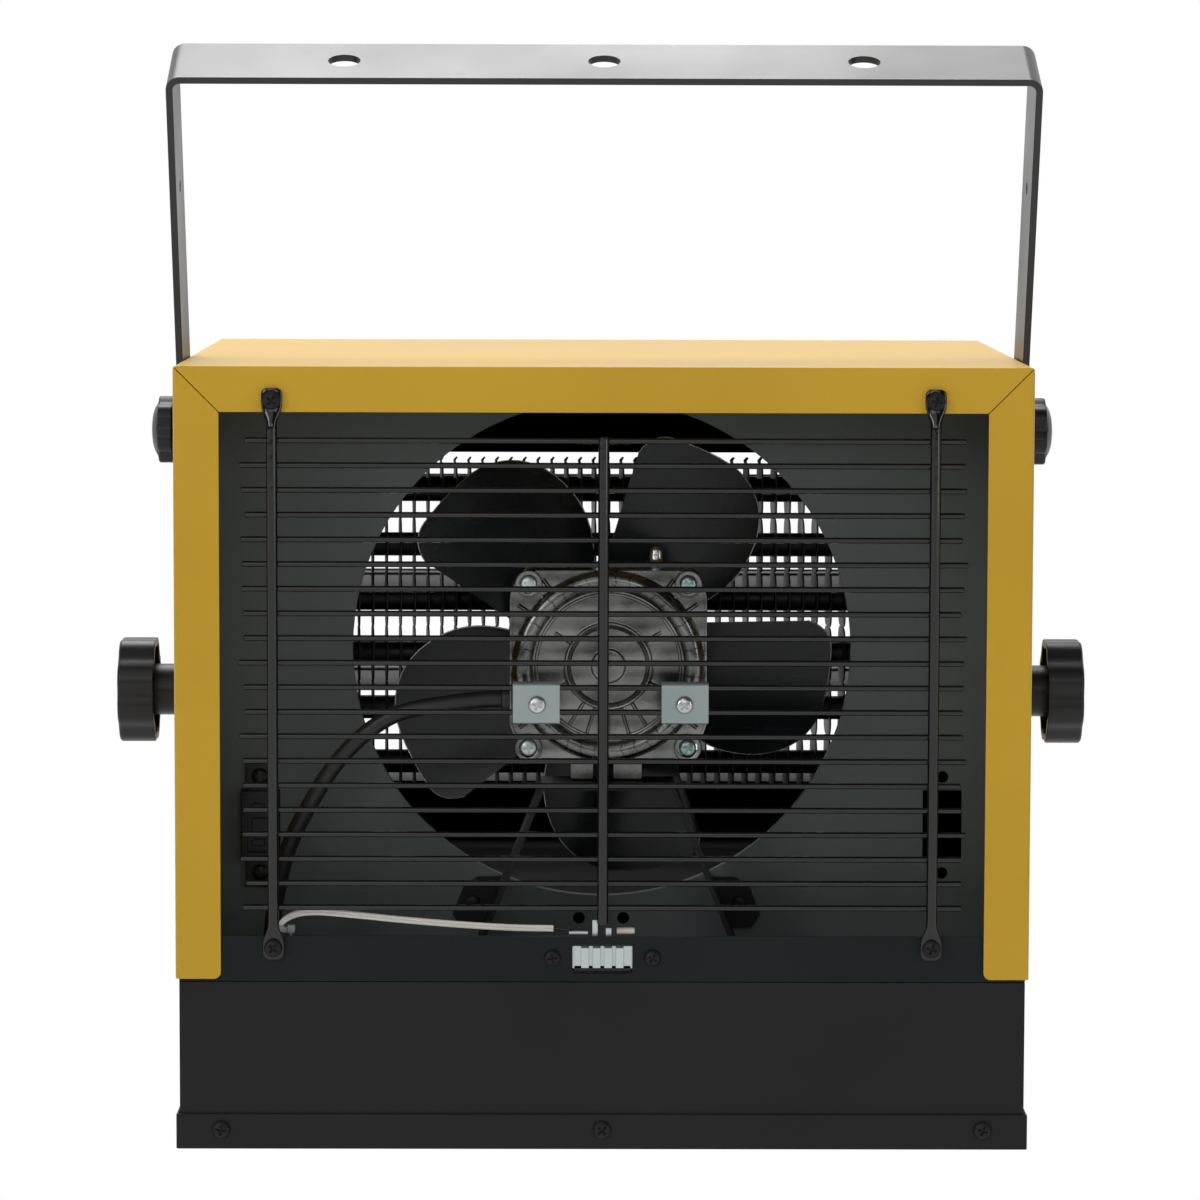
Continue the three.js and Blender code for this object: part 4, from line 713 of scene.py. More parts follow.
def makeGuard():
    reach, lowest, highest = guard["reach"], guard["lowest"], guard["highest"]
    pitch = (highest - lowest) / (guard["wires"] - 1)
    master = rod("guardWire", at(-reach, guard["wireY"], 0), at(reach, guard["wireY"], 0),
                 guard["wireRadius"], 12)
    rounded(master, guard["wireEnd"], 2, 60)
    wires = []
    for i in range(guard["wires"]):
        # each wire is cut a little differently at its ends
        slide = guard["stagger"] * math.sin(i * 2.4) * 0.5
        trim = 1 - guard["stagger"] * (1 + math.sin(i * 1.7)) / 2 / reach
        shift = Matrix.Translation(local(slide, 0, lowest + i * pitch))
        wires.append(copied(master, shift @ Matrix.Scale(trim, 4, (1, 0, 0))))
    bpy.data.objects.remove(master)
    centre = rod("centreRod", at(0, guard["rodY"], lowest - guard["centreUnder"]),
                 at(0, guard["rodY"], highest + guard["centreOver"]), guard["rodRadius"], 20)
    rounded(centre, guard["rodEnd"], 3, 60)
    whole = joined("rearWireGuard", centre, guardRod(-guard["rodX"]), guardRod(guard["rodX"]), *wires)
    return fitted(whole, "blackWire", "heater", "black_wire", "rear_guard", angle=50)


makeGuard()
print("rear guard")

# motor

axisX, axisZ = 2.4, 134
motor = {"width": 86, "height": 83.4, "face": 26, "rearEnd": 46, "frontStart": 60.6, "frontEnd": 77.6,
         "corner": 13, "chamferWide": 14, "chamferHigh": 16, "rim": 1.1, "rimDepth": 0.5, "boltX": 34.8,
         "boltZ": 35.9, "headSize": 0.93, "feet": ((-16.4, -6.2), (2.6, 15.4)), "footDrop": 12.9,
         "pierced": 35.4, "rearEdge": 0.5, "frontEdge": 1.4, "footEdge": 0.6}
# the dish from its middle outwards: radius and height above the face
dish = [(0, 1.5), (5.9, 1.5), (6.9, 1.3), (7.7, 0.2), (8.4, 0), (16.2, 0), (16.8, 0.9), (17.2, 1.2),
        (17.7, 0.8), (18.2, 1.5), (18.8, 1.6), (19.4, 0.7), (20.2, 0.5), (30.8, 0.5), (31.2, 1.3),
        (31.8, 1.4), (32.3, 0.8), (33, 0.9), (33.6, 2), (34.8, 3.2), (36.4, 3.85), (38, 3.9), (39.4, 3.4),
        (40.6, 2.3), (41.5, 0.9), (42, 0), (42, -1), (0, -1)]
# ribs: their inner and outer radius, and the height and width they have over the dish
ribs = {"ring": (33.2, 41.9, 1.3, 0.55), "inRing": 39, "crest": 0.2, "root": 0.25,
        # the others, with their turns from the right
        "others": [((35, 53, 127, 146, 215, 325), (41, 47.4, 1.9, 0.9)),
                   ((33, 148, 203, 337), (18.6, 27.4, 1.9, 0.9)),
                   ((236.5, 252.5, 270, 287, 302.5), (19.4, 31, 1.9, 0.9))]}


def onMotor(x, y, z):
    # a point by its place beside and above the motor's axis
    return at(axisX + x, y, axisZ + z)


def motorOutline():
    half, high = motor["width"] / 2, motor["height"] / 2
    radius, wide, tall = motor["corner"], motor["chamferWide"], motor["chamferHigh"]
    # a lower corner as a shallow curve, from its foot to its side
    foot, bulge, side = (half - wide, -high), (half - 2, -high + tall * 0.45), (half, -high + tall)
    curve = [tuple((1 - t) ** 2 * a + 2 * t * (1 - t) * b + t ** 2 * c for a, b, c in zip(foot, bulge, side))
             for t in (0, 0.2, 0.4, 0.6, 0.8, 1)]
    right = [*curve, *arc(half - radius, high - radius, radius, 0, 90, 8)]
    return right + [(-x, z) for x, z in reversed(right)]


def motorBlock(name, start, end):
    return plate(name, [onMotor(x, start, z) for x, z in motorOutline()], local(0, end - start))


def aboutMotor(piece, degrees):
    return copied(piece, aboutAxis(onMotor(0, 0, 0), "Y", degrees))


def spread(piece, count, start=0.0):
    # copies of one piece all round the motor's axis
    turned = [aboutMotor(piece, start + i * 360 / count) for i in range(count)]
    bpy.data.objects.remove(piece)
    return turned


def dishHeight(radius):
    for (r0, h0), (r1, h1) in zip(dish, dish[1:]):
        if r0 <= radius < r1:
            return h0 + (h1 - h0) * (radius - r0) / (r1 - r0)
    return 0


def radialRib(inner, outer, width, over):
    # a rib standing on the dish, following its profile between two radii, narrow along its crest
    radii = [inner, *(r for r, h in dish[:-2] if inner < r < outer), outer]
    line = [(r, dishHeight(r) + over) for r in radii]
    line += [(r, dishHeight(r) - ribs["root"]) for r in reversed(radii)]
    face = motor["face"]
    rib = plate("rib", [onMotor(r, face - h, -width / 2) for r, h in line], local(z=width))
    start, half = onMotor(0, face, 0), over / 2
    edit(rib)
    pick("VERT", lambda place: (start.y - place.y) / mm > dishHeight((place.x - start.x) / mm) + half)
    bpy.ops.transform.resize(value=(1, 1, ribs["crest"]), center_override=start)
    return done(rib)


def boltSpots():
    return [(i * motor["boltX"], k * motor["boltZ"]) for k in (1, -1) for i in (-1, 1)]


def makeRearShield():
    face = motor["face"]
    block = motorBlock("rearShield", face, motor["rearEnd"])
    edit(block)
    pick("FACE", lambda place, normal: normal.y < -0.9)
    bpy.ops.mesh.inset(thickness=motor["rim"] * mm)
    extrude(local(0, motor["rimDepth"]))
    done(block)
    rounded(block, motor["rearEdge"], 2, 40)
    bowl = spun("dish", dish, onMotor(0, face, 0), (0, -1, 0), 72)
    standing = spread(radialRib(*ribs["ring"]), ribs["inRing"], 90)
    for turns, sizes in ribs["others"]:
        master = radialRib(*sizes)
        standing += [aboutMotor(master, -turn) for turn in turns]
        bpy.data.objects.remove(master)
    # collars round the screws, with a web from each to the ring
    collar = [(4.7, 1.5), (5.7, 1.5), (6, 1.2), (6.2, -0.6), (4.2, -0.6), (4.2, 1.2)]
    collars = [spun("collar", collar, onMotor(x, face, z), (0, -1, 0), 28) for x, z in boltSpots()]
    webs = []
    for x, z in boltSpots():
        web = box("web", onMotor(41, face - 1, -0.6), onMotor(44.6, face + 1, 0.6))
        webs.append(moved(web, aboutAxis(onMotor(0, 0, 0), "Y", -math.degrees(math.atan2(z, x)))))
    # the small pierced boss above the ring
    rise = motor["pierced"]
    boss = spun("boss", [(0, 1.6), (2.6, 1.6), (3.2, 1.2), (3.4, -0.8), (0, -0.8)],
                onMotor(0, face - 1.6, rise), (0, -1, 0), 24)
    carve(boss, rod("drill", onMotor(0, face - 4, rise), onMotor(0, face - 0.4, rise), 1.5, 16))
    whole = joined("dieCastShield", block, bowl, boss, *standing, *collars, *webs)
    fitted(whole, "castAlloy", "heater", "cast_alloy", "motor_rear_shield", angle=35)
    for i, (x, z) in enumerate(boltSpots()):
        head = screwAt(f"motorScrew{i + 1}", onMotor(x, face - 0.3, z), 20 + 31 * i, motor["headSize"])
        fitted(head, "tealZinc" if x > 0 else "zincPlate", "heater", "bare_steel", f"motor_screw_{i + 1}")


def makeFrontShield():
    start, end = motor["frontStart"], motor["frontEnd"]
    block = rounded(motorBlock("frontShield", start, end), motor["frontEdge"], 3, 40)
    high = motor["height"] / 2
    foot = -high - motor["footDrop"]
    feet = [rounded(box("foot", onMotor(left, start, foot), onMotor(right, end, 2 - high)), motor["footEdge"])
            for left, right in motor["feet"]]
    # the earth cap: a domed nut on a flared base
    cap = [(0, -1), (5.3, -1), (5.4, 0), (4.9, 0.8), (3.9, 1.5), (3.3, 2.6), (3.2, 4.4), (3, 5.9), (2.4, 7.1),
           (1.4, 7.9), (0, 8.2)]
    dome = spun("earthCap", cap, onMotor(motor["width"] / 4, end - 10, high - 0.6), (0, 0, 1), 32)
    hub = spun("nose", [(0, 1.8), (12, 1.8), (14, 0), (14, -1), (0, -1)], onMotor(0, end, 0), (0, 1, 0), 40)
    carve(hub, rod("shaftWay", onMotor(0, end - 3, 0), onMotor(0, end + 4, 0), 4.6, 24))
    whole = joined("frontShieldCasting", block, hub, *feet)
    fitted(whole, "castAlloy", "heater", "cast_alloy", "motor_front_shield", angle=35)
    return fitted(dome, "bareSteel", "heater", "cast_alloy", angle=40)


clip = {"wide": 20.4, "high": 17.8, "deep": 7.5, "sheet": 0.9, "bend": 1.7, "z": 120.5, "front": -1.9,
        "shank": 1.9, "headSize": 0.98, "turns": (0, 0.4, 0.8, 1.2, math.pi / 2),
        # each clip's place across, its screw's place and turn, and the node it stands for
        "spots": [(-28.8, -28.5, 18, "shield_clip_left"), (35.3, 35, 42, "shield_clip_right")]}


def makeClips():
    # a plate outside the guard's wires, turned in above and below two of them, and its long screw
    half, front, bend = clip["high"] / 2, clip["front"], clip["bend"]
    outer, inner = [[(front + clip["deep"], half - thick),
                     *[(front + bend - (bend - thick) * math.sin(turn),
                        half - bend + (bend - thick) * math.cos(turn)) for turn in clip["turns"]]]
                    for thick in (0, clip["sheet"])]
    line = outer + [(y, -z) for y, z in reversed(outer)] + [(y, -z) for y, z in inner] + inner[::-1]
    for x, screwX, turn, name in clip["spots"]:
        points = [at(x - clip["wide"] / 2, y, clip["z"] + z) for y, z in line]
        body = rounded(plate(name + "_plate", points, local(clip["wide"])), 0.2, 1, 50)
        screwZ = clip["z"] - 0.4
        head = screwAt("clipScrew", at(screwX, front, screwZ), turn, clip["headSize"])
        shank = rod("clipShank", at(screwX, front + 1, screwZ), at(screwX, motor["face"], screwZ),
                    clip["shank"], 20)
        fitted(body, "dullZinc", "heater", "zinc_plate", name)
        fitted(joined(name + "_longScrew", head, shank), "bareSteel", "heater", "zinc_plate")


makeRearShield()
makeFrontShield()
makeClips()
print("motor and clips")

# fan

fan = {"radius": 100, "blades": 5, "phase": 59, "y": 93, "pitch": 22, "sheet": 1.2, "camber": 3,
       "rootRadius": 20, "leadRoot": 18, "leadTip": 34.5, "leadRound": 14, "belly": -34, "trailRoot": -8,
       "hubRadius": 27, "bossRadius": 9, "bossLength": 12.2, "boreRadius": 4.3, "bossBack": -3.8,
       "hubHalf": 0.8, "armWide": 12, "armHalf": 0.9, "armStart": 12, "armEnd": 34, "armPitch": 0.9,
       "armRound": 5, "rivets": (26, 34), "rivetSeat": -1.1, "rimEnd": -3.4, "bladeEdge": 0.35,
       # the bowed sheet that a blade is cut from, and the bare steel strip drawn along its edges as a painted
       # highlight
       "sheetHalf": 42, "sheetSteps": 16, "over": 3, "highlightRadius": 0.42, "highlightFrom": 35}


def bent(line, steps):
    # points of a curve from its ends and handles, without the first
    points = []
    for k in range(1, steps + 1):
        layer, t = line, k / steps
        while len(layer) > 1:
            layer = [(a[0] + (b[0] - a[0]) * t, a[1] + (b[1] - a[1]) * t) for a, b in zip(layer, layer[1:])]
        points.append(layer[0])
    return points


def bladeOutline():
    # seen along the axis: straight leading edge, round tip and bellied trailing edge
    radius, tip, belly = fan["radius"], fan["leadTip"], fan["belly"]
    tipTurn = math.asin((tip - fan["leadRound"]) / radius)
    edgeX, edgeZ = radius * math.cos(tipTurn), radius * math.sin(tipTurn)
    lead = [(fan["rootRadius"], fan["leadRoot"]), (edgeX - fan["leadRound"], tip)]
    corner = bent([lead[1], (edgeX - 1, tip - 1), (edgeX, edgeZ)], 8)
    rim = arc(0, 0, radius, math.degrees(tipTurn), fan["rimEnd"], 8)[1:]
    trail = bent([rim[-1], (radius - 2, -radius * 0.2), (radius * 0.87, belly), (radius * 0.64, belly)], 12)
    root = bent([trail[-1], (radius * 0.42, belly), (fan["rootRadius"], fan["trailRoot"])], 10)
    return [*lead, *corner, *rim, *trail, *root]


def sheetDepth(height):
    # how far behind the hub's middle the pitched and bowed sheet lies, at a height on the blade
    turn, half = math.radians(fan["pitch"]), fan["radius"] / 2
    bow = (half ** 2 + fan["camber"] ** 2) / (2 * fan["camber"])
    across = height / math.cos(turn)
    lift = (fan["camber"] - fan["sheet"]) / 2 - bow + math.sqrt(bow ** 2 - across ** 2)
    return -math.sin(turn) * across - math.cos(turn) * lift


def makeBlade():
    y, half, steps, over = (fan[key] for key in ("y", "sheetHalf", "sheetSteps", "over"))
    heights = [half * (2 * k / steps - 1) for k in range(steps + 1)]
    sheet = drawn("blade", [onMotor(fan["rootRadius"] - over, y + sheetDepth(h), h) for h in heights])
    bpy.ops.mesh.select_all(action="SELECT")
    extrude(local(fan["radius"] - fan["rootRadius"] + 2 * over))
    outward()
    done(sheet)
    modify(sheet, "SOLIDIFY", thickness=fan["sheet"] * mm, offset=0)
    cutter = plate("outline", [onMotor(r, y - half, h) for r, h in bladeOutline()], local(0, 2 * half))
    carve(sheet, cutter, operation="INTERSECT")
    return rounded(sheet, fan["bladeEdge"], 2, 50)


def makeBladeEdgeHighlights():
    # bare steel strips along the sheared edges, a painted highlight of those edges
    line = [(r, h) for r, h in bladeOutline() if r > fan["highlightFrom"] or h > fan["leadRoot"]]
    edge = tube("edge", [onMotor(r, fan["y"] + sheetDepth(h), h) for r, h in line], fan["highlightRadius"], 2)
    edges = joined("paintedEdgeHighlights", *spread(edge, fan["blades"], -fan["phase"]))
    return fitted(edges, "bareSteel", "fan_rotor", "blade_metal", angle=60)


def makeFan():
    y, wide, thick = fan["y"], fan["armWide"] / 2, fan["armHalf"]
    blade = makeBlade()
    arm = box("arm", onMotor(fan["armStart"], y - thick, -wide), onMotor(fan["armEnd"], y + thick, wide))
    edit(arm)
    pick("EDGE", lambda a, b: min(a.x, b.x) > (axisX + fan["armEnd"] - 1) * mm and abs(a.z - b.z) < tiny)
    bpy.ops.mesh.bevel(offset=fan["armRound"] * mm, segments=5)
    done(arm)
    moved(arm, aboutAxis(at(0, y, axisZ), "X", fan["pitch"] * fan["armPitch"]))
    rivets = [spun("rivet", [(0, 1.9), (1.3, 1.8), (2.2, 1.2), (2.6, 0.3), (2.6, -1), (0, -1)],
                   onMotor(r, y + fan["rivetSeat"], 0), (0, -1, 0), 16) for r in fan["rivets"]]
    one = joined("bladeAndArm", blade, arm, *rivets)
    wings = spread(one, fan["blades"], -fan["phase"])
    bore, boss, rim, half = (fan[key] for key in ("boreRadius", "bossRadius", "hubRadius", "hubHalf"))
    back, length = fan["bossBack"], fan["bossLength"]
    disc = spun("hub", [(bore, back), (boss, back), (boss + 2, -half), (rim, -half), (rim + half / 2, 0),
                        (rim, half), (boss + 1.4, half), (boss, 3 * half), (boss, length - 1),
                        (boss - 1, length), (bore, length)], onMotor(0, y, 0), (0, 1, 0), 48)
    whole = joined("pressedFan", disc, *wings)
    return fitted(whole, "bladeMetal", "fan_rotor", "blade_metal", "fan", angle=40)


makeFan()
makeBladeEdgeHighlights()
print("fan")

# heating elements

element = {"y": 180, "duct": 138, "coldEnd": 10, "bendEnd": 8, "tube": 5.5, "finHigh": 12.6, "finDeep": 11,
           "finRound": 6, "finSheet": 0.7, "lean": 4.5, "pitch": 6.45, "fins": 40, "curl": 3, "curlDeep": 8,
           "bead": 4, "beadLength": 8, "stud": 2, "studLength": 9, "highest": 200, "lowest": 72.5,
           # up a curl from its seat in the fin: one side, its height in fifths and the width there
           "curlSeat": 0.6, "curlLine": [(0.5, 0, 1), (0.25, 1, 0.95), (-0.1, 2, 0.8), (-0.15, 3, 0.65),
                                         (0.15, 4, 0.45), (0.75, 5.4, 0.2)]}


def makeFinnedRun():
    # thin fins pressed on the tube, each leaning a little
    half, high, deep = element["finSheet"] / 2, element["finHigh"], element["finDeep"]
    turn = element["finRound"]
    corner = arc(deep - turn, high - turn, turn, 0, 90, 4)
    quarter = corner + [(-y, z) for y, z in reversed(corner)]
    outline = quarter + [(-y, -z) for y, z in quarter]
    fin = plate("fin", [local(-half, y, z) for y, z in outline], local(2 * half))
    first = -(element["fins"] - 1) * element["pitch"] / 2
    lean = Matrix.Rotation(math.radians(element["lean"]), 4, "Z")
    places = [Matrix.Translation(local(first + i * element["pitch"])) @ lean for i in range(element["fins"])]
    fins = [copied(fin, place) for place in places]
    bpy.data.objects.remove(fin)
    return joined("finRow", *fins), places


def makeCurls(places):
    # the thin curled tips that stand over the top row
    high, rise = element["finHigh"] - element["curlSeat"], element["curl"] / 5
    side = [(x, step) for x, step, width in element["curlLine"]]
    back = [(x - width, step) for x, step, width in reversed(element["curlLine"])]
    half = element["curlDeep"] / 2
    line = [local(x, -half, high + step * rise) for x, step in side + back]
    tip = plate("curl", line, local(0, 2 * half))
    tips = [copied(tip, place) for place in places]
    bpy.data.objects.remove(tip)
    return joined("curlRow", *tips)


def makeElements():
    # three hairpins make six rows, all at the same distance
    rowGap = (element["highest"] - element["lowest"]) / 5
    half = rowGap / 2
    cold, bend = -element["duct"] - element["coldEnd"], element["duct"] + element["bendEnd"]
    run, places = makeFinnedRun()
    line = [(cold, half), *[(bend + x, z) for x, z in arc(0, 0, half, 90, -90, 16)], (cold, -half)]
    hairpin = tube("hairpin", [local(x, 0, z) for x, z in line], element["tube"])
    radius, length, stud = element["bead"], element["beadLength"], element["stud"]
    tip = length + element["studLength"]
    bead = [(0, -1), (radius, -1), (radius, length - 1), (radius - 1, length), (stud, length), (stud, tip),
            (0, tip)]
    ends = [spun("bead", bead, local(cold, 0, z), (-1, 0, 0), 20) for z in (half, -half)]
    runs = [copied(run, Matrix.Translation(local(z=z))) for z in (half, -half)]
    bpy.data.objects.remove(run)
    one = joined("hairpinElement", hairpin, *runs, *ends)
    curls = moved(makeCurls(places), Matrix.Translation(local(z=half)))
    for i, level in enumerate(("upper", "middle", "lower")):
        height = element["highest"] - half - 2 * i * rowGap
        whole = copied(one, Matrix.Identity(4), level + "HairpinElement")
        if i == 0:
            whole = joined(whole.name, whole, curls)
        moved(whole, Matrix.Translation(at(0, element["y"], height)))
        fitted(whole, "elementBlack", "heater", "element_black", "heating_element_" + level, angle=40)
    bpy.data.objects.remove(one)


# louvers

louver = {"chord": 44, "rise": 3, "sheet": 1.3, "set": 6, "hem": 1.6, "spine": 2.6, "pin": 2, "reach": 136.5,
          "pinEnd": 140, "y": 262, "highest": 196.7, "lowest": 57.5, "count": 4, "edge": 0.3}


def makeLouvers():
    half, rise, sheet = louver["chord"] / 2, louver["rise"], louver["sheet"]
    bow = (half ** 2 + rise ** 2) / (2 * rise)
    opening = math.degrees(math.asin(half / bow))
    upper = arc(0, rise - bow, bow, 90 + opening, 90 - opening, 14)
    under = arc(0, rise - bow, bow - sheet, 90 - opening, 90 + opening, 14)
    reach = louver["reach"]
    leaf = plate("leaf", [local(-reach, y, z) for y, z in upper + under], local(2 * reach))
    hem = rod("hem", local(-reach, half - 1), local(reach, half - 1), louver["hem"], 16)
    spine = rod("spine", local(-reach, 0, rise * 0.5), local(reach, 0, rise * 0.5), louver["spine"], 18)
    one = moved(joined("louver", leaf, hem, spine), Matrix.Rotation(math.radians(louver["set"]), 4, "X"))
    pin = rod("pin", local(-louver["pinEnd"]), local(louver["pinEnd"]), louver["pin"], 16)
    one = rounded(joined("louver", one, pin), louver["edge"], 2, 50)
    for i in range(louver["count"]):
        height = louver["highest"] - i * (louver["highest"] - louver["lowest"]) / (louver["count"] - 1)
        whole = copied(one, Matrix.Translation(at(0, louver["y"], height)), f"bowedLouver{i + 1}")
        fitted(whole, "blackPaint", f"louver_{i + 1}", "black_paint", f"louver_{i + 1}", angle=40)
    bpy.data.objects.remove(one)


makeElements()
makeLouvers()
print("elements and louvers")

# wiring

cable = {"radius": 3.7, "exit": (-39.9, 32, 118.5),
         "route": [(-39.8, 32, 118.5), (-52, 32, 118.5), (-70, 31, 116.5), (-88, 31, 113), (-103, 33, 104),
                   (-117, 37, 89.5), (-128, 43, 72), (-138, 50, 52), (-144, 56, 30), (-147, 60, 8),
                   (-147, 60, -6), (-147, 66, -14.6), (-147, 78, -17.1), (-147, 91.7, -17.1)]}


def makeCable():
    path = curvedPath([at(*point) for point in cable["route"]], 5)
    sheath = tube("motorCableSheath", path, cable["radius"], 5)
    collar = spun("exitCollar", [(3.8, 0), (5.4, 0), (5.6, 0.6), (5.6, 3.6), (4.9, 4.4), (3.8, 4.4)],
                  at(*cable["exit"]), (-1, 0, 0), 28)
    whole = joined("motorCableRun", sheath, collar)
    return fitted(whole, "blackRubber", "heater", "black_rubber", "motor_cable", angle=50)


lead = {"radius": 0.8, "apart": 0.72, "core": 0.55,
        "route": [(-141.5, 9, 0.4), (-141.5, 8.6, 10), (-141, 8, 19), (-138.8, 7.4, 24), (-133, 7, 27.4),
                  (-124, 6.8, 28.4), (-108, 6.6, 27.2), (-88, 6.4, 25.2), (-64, 6.2, 23.2), (-40, 6, 21.8),
                  (-21.3, 6, 21.4)],
        "coreRoute": [(-21.3, 6, 21.4), (-18, 6, 21.2), (-15, 5.6, 20.8), (-12.5, 5.4, 20.3)]}


def makeLead():
    # two strands, one above the other, make the flat sleeve
    strands = [tube("strand", curvedPath([at(x, y, z + shift) for x, y, z in lead["route"]], 5),
                    lead["radius"], 3) for shift in (-lead["apart"], lead["apart"])]
    fitted(joined("sleevedLead", *strands), "whiteSleeve", "heater", "white_sleeve", "sensor_lead", angle=60)
    core = tube("leadCore", curvedPath([at(*p) for p in lead["coreRoute"]], 4), lead["core"], 3)
    return fitted(core, "blackRubber", "heater", "black_rubber", angle=60)


tie = {"place": (-140.1, 7.8, 21.7), "along": (0.35, 0, 0.94), "inner": 3, "outer": 4, "half": 1.2,
       "blocks": [("tieHead", (3.2, -2.2, -2.6), (6.6, 1.6, 1), 0.5),
                  ("tieTail", (4.4, -1.4, -9.5), (5.4, 0.2, -2), 0.2)]}


def makeTie():
    outer, inner, half = tie["outer"], tie["inner"], tie["half"]
    band = spun("tieBand", [(inner, -half), (outer, -half), (outer, half), (inner, half)],
                at(*tie["place"]), tie["along"], 32)
    whole = joined("cableTie", band, *blocks(tie["blocks"], *tie["place"]))
    return fitted(whole, "nylonTie", "heater", "white_sleeve", "lead_tie")


# heights are counted from the middle of the strip
cutout = {"middle": 9.35, "screws": ((-21.7, -8), (21.7, 32)), "seat": 1.2, "headSize": 0.9,
          "strip": ((-26.2, 3, -5), (26.2, 3.8, 5), 0.2),
          "tabs": (-7.5, -2.5, 2.5, 7.5), "tab": (1.7, 1.6, 2.6, -4.6, 4), "tabBend": 1.6, "tabEdge": 0.25,
          "body": [("cutoutBody", (-12.5, 3, -6.3), (12.6, 12, -3.4), 0.4)],
          "terminals": [("flatTab", (-14.5, 4.4, 9.6), (-6.2, 7, 11), 0.3),
                        ("prong", (-4.4, 4.6, 7), (-2, 5.6, 16), 0.3),
                        ("post", (1.4, 4, 8.6), (4, 6, 12.6), 0.4)],
          "sleeve": ((6.2, 14), 5.2, 11.2, 1.5, 0.4)}


def makeCutout():
    middle = cutout["middle"]
    (left, back, low), (right, front, high), edge = cutout["strip"]
    strip = rounded(box("strip", at(left, back, middle + low), at(right, front, middle + high)), edge, 1)
    half, back, front, low, high = cutout["tab"]
    tabs = []
    for x in cutout["tabs"]:
        tab = box("tab", at(x - half, back, middle + low), at(x + half, front, middle + high))
        edit(tab)
        pick("FACE", lambda place, normal: normal.z > 0.9)
        extrude(local(0, cutout["tabBend"], cutout["tabBend"]))
        tabs.append(rounded(done(tab), cutout["tabEdge"]))
    metal = joined("cutoutMetal", strip, *blocks(cutout["terminals"], z=middle), *tabs)
    fitted(metal, "zincPlate", "heater", "zinc_plate", "thermal_cutout")
    fitted(*blocks(cutout["body"], z=middle), "blackPlastic", "heater", "black_plastic")
    (start, end), y, rise, radius, edge = cutout["sleeve"]
    sleeve = rod("ceramicSleeve", at(start, y, middle + rise), at(end, y, middle + rise), radius, 20)
    fitted(rounded(sleeve, edge), "ceramicWhite", "heater", "ceramic")
    for x, turn in cutout["screws"]:
        head = screwAt("cutoutScrew", at(x, cutout["seat"], middle), turn, cutout["headSize"])
        fitted(head, "blackPaint", "heater", "black_paint")


connector = {"middle": (-153.5, 88, 55.5), "face": -1.9, "screwRise": 21.8, "screwTurn": 15, "headSize": 0.95,
             "recess": ((-5.5, -8, -12.5), (6.5, 4, 12.5)),
             "blocks": [("earPlate", (-6.5, -1.9, -28.3), (6.5, -0.3, 28.3), 0.5),
                        ("body", (-8.5, -6, -15.5), (8.5, 16, 15.5), 0.5),
                        ("bridge", (-3.5, -5, -3), (7.5, 5, 3), 0.4),
                        ("hook", (-3.5, -4.4, -9.4), (2, 5, -6.6), 0.3),
                        ("hook", (-3.5, -4.4, 6.6), (2, 5, 9.4), 0.3)]}


def makeConnector():
    x, y, z = connector["middle"]
    pieces = blocks(connector["blocks"], x, y, z)
    (left, front, low), (right, back, high) = connector["recess"]
    carve(pieces[1], box("recess", at(x + left, y + front, z + low), at(x + right, y + back, z + high)))
    heads = [screwAt("connectorScrew", at(x, y + connector["face"], z + side * connector["screwRise"]),
                     side * connector["screwTurn"], connector["headSize"]) for side in (-1, 1)]
    whole = joined("sideConnectorBody", *pieces, *heads)
    return fitted(whole, "blackPlastic", "heater", "black_plastic", "side_connector")


screwTips = {"across": (-121, 82.5, 98.5), "y": 18, "low": 0.2, "threads": 6}


def makeScrewTips():
    # points of the screws that hold the tray to the base, standing up behind the rail
    tip = [(0, 12), (0.5, 11.2), (1.4, 8), (1.7, 6)]
    for k in range(screwTips["threads"]):
        tip += [(1.75, 5.8 - k), (1.35, 5.3 - k)]
    tip += [(1.4, 0), (0, 0)]
    for i, x in enumerate(screwTips["across"]):
        screw = spun(f"screwTip{i + 1}", tip, at(x, screwTips["y"], screwTips["low"]), (0, 0, 1), 14)
        fitted(screw, "zincPlate", "heater", "bare_steel", angle=60)


makeCable()
makeLead()
makeTie()
makeCutout()
makeConnector()
makeScrewTips()
print("wiring and fittings")

# clamp and star knobs

clamp = {"radius": 24.5, "lobes": 8, "dip": 1.8, "thick": 16.5, "hub": 11.8, "hubLength": 16, "rim": 3,
         "hollow": 9, "start": 188.8, "edge": 1.6, "disc": 15.6, "stud": 3.95, "studStart": 174, "reach": 0,
         "ribHalf": 0.7, "ribStart": 10, "ribSeat": 2.5, "hubEnd": 4, "inEdge": 0.5, "hubEdge": 0.6}
star = {"radius": 15, "lobes": 6, "dip": 2.2, "thick": 10, "skirt": 9, "skirtLength": 3.2, "start": 188.8,
        "stud": 2.95, "studStart": 185.4, "reach": 133, "rimShare": 0.7, "coreEdge": 0.5,
        "dome": [(0, 3), (4, 2.9), (7, 2.5), (9.6, 1.7)]}


def lobed(name, knob, start, thick, steps=8):
    # a disc with waves round its edge, its axis along +X
    points, lobes = [], knob["lobes"]
    for k in range(lobes * steps):
        turn = 2 * math.pi * k / (lobes * steps)
        reach = knob["radius"] - knob["dip"] * (0.5 - 0.5 * math.cos(lobes * turn)) ** 1.6
        points.append(local(start, reach * math.cos(turn), reach * math.sin(turn)))
    return plate(name, points, local(thick))


def threaded(knob, sides):
    return rod("stud", local(knob["studStart"]), local(knob["start"] + 1), knob["stud"], sides)


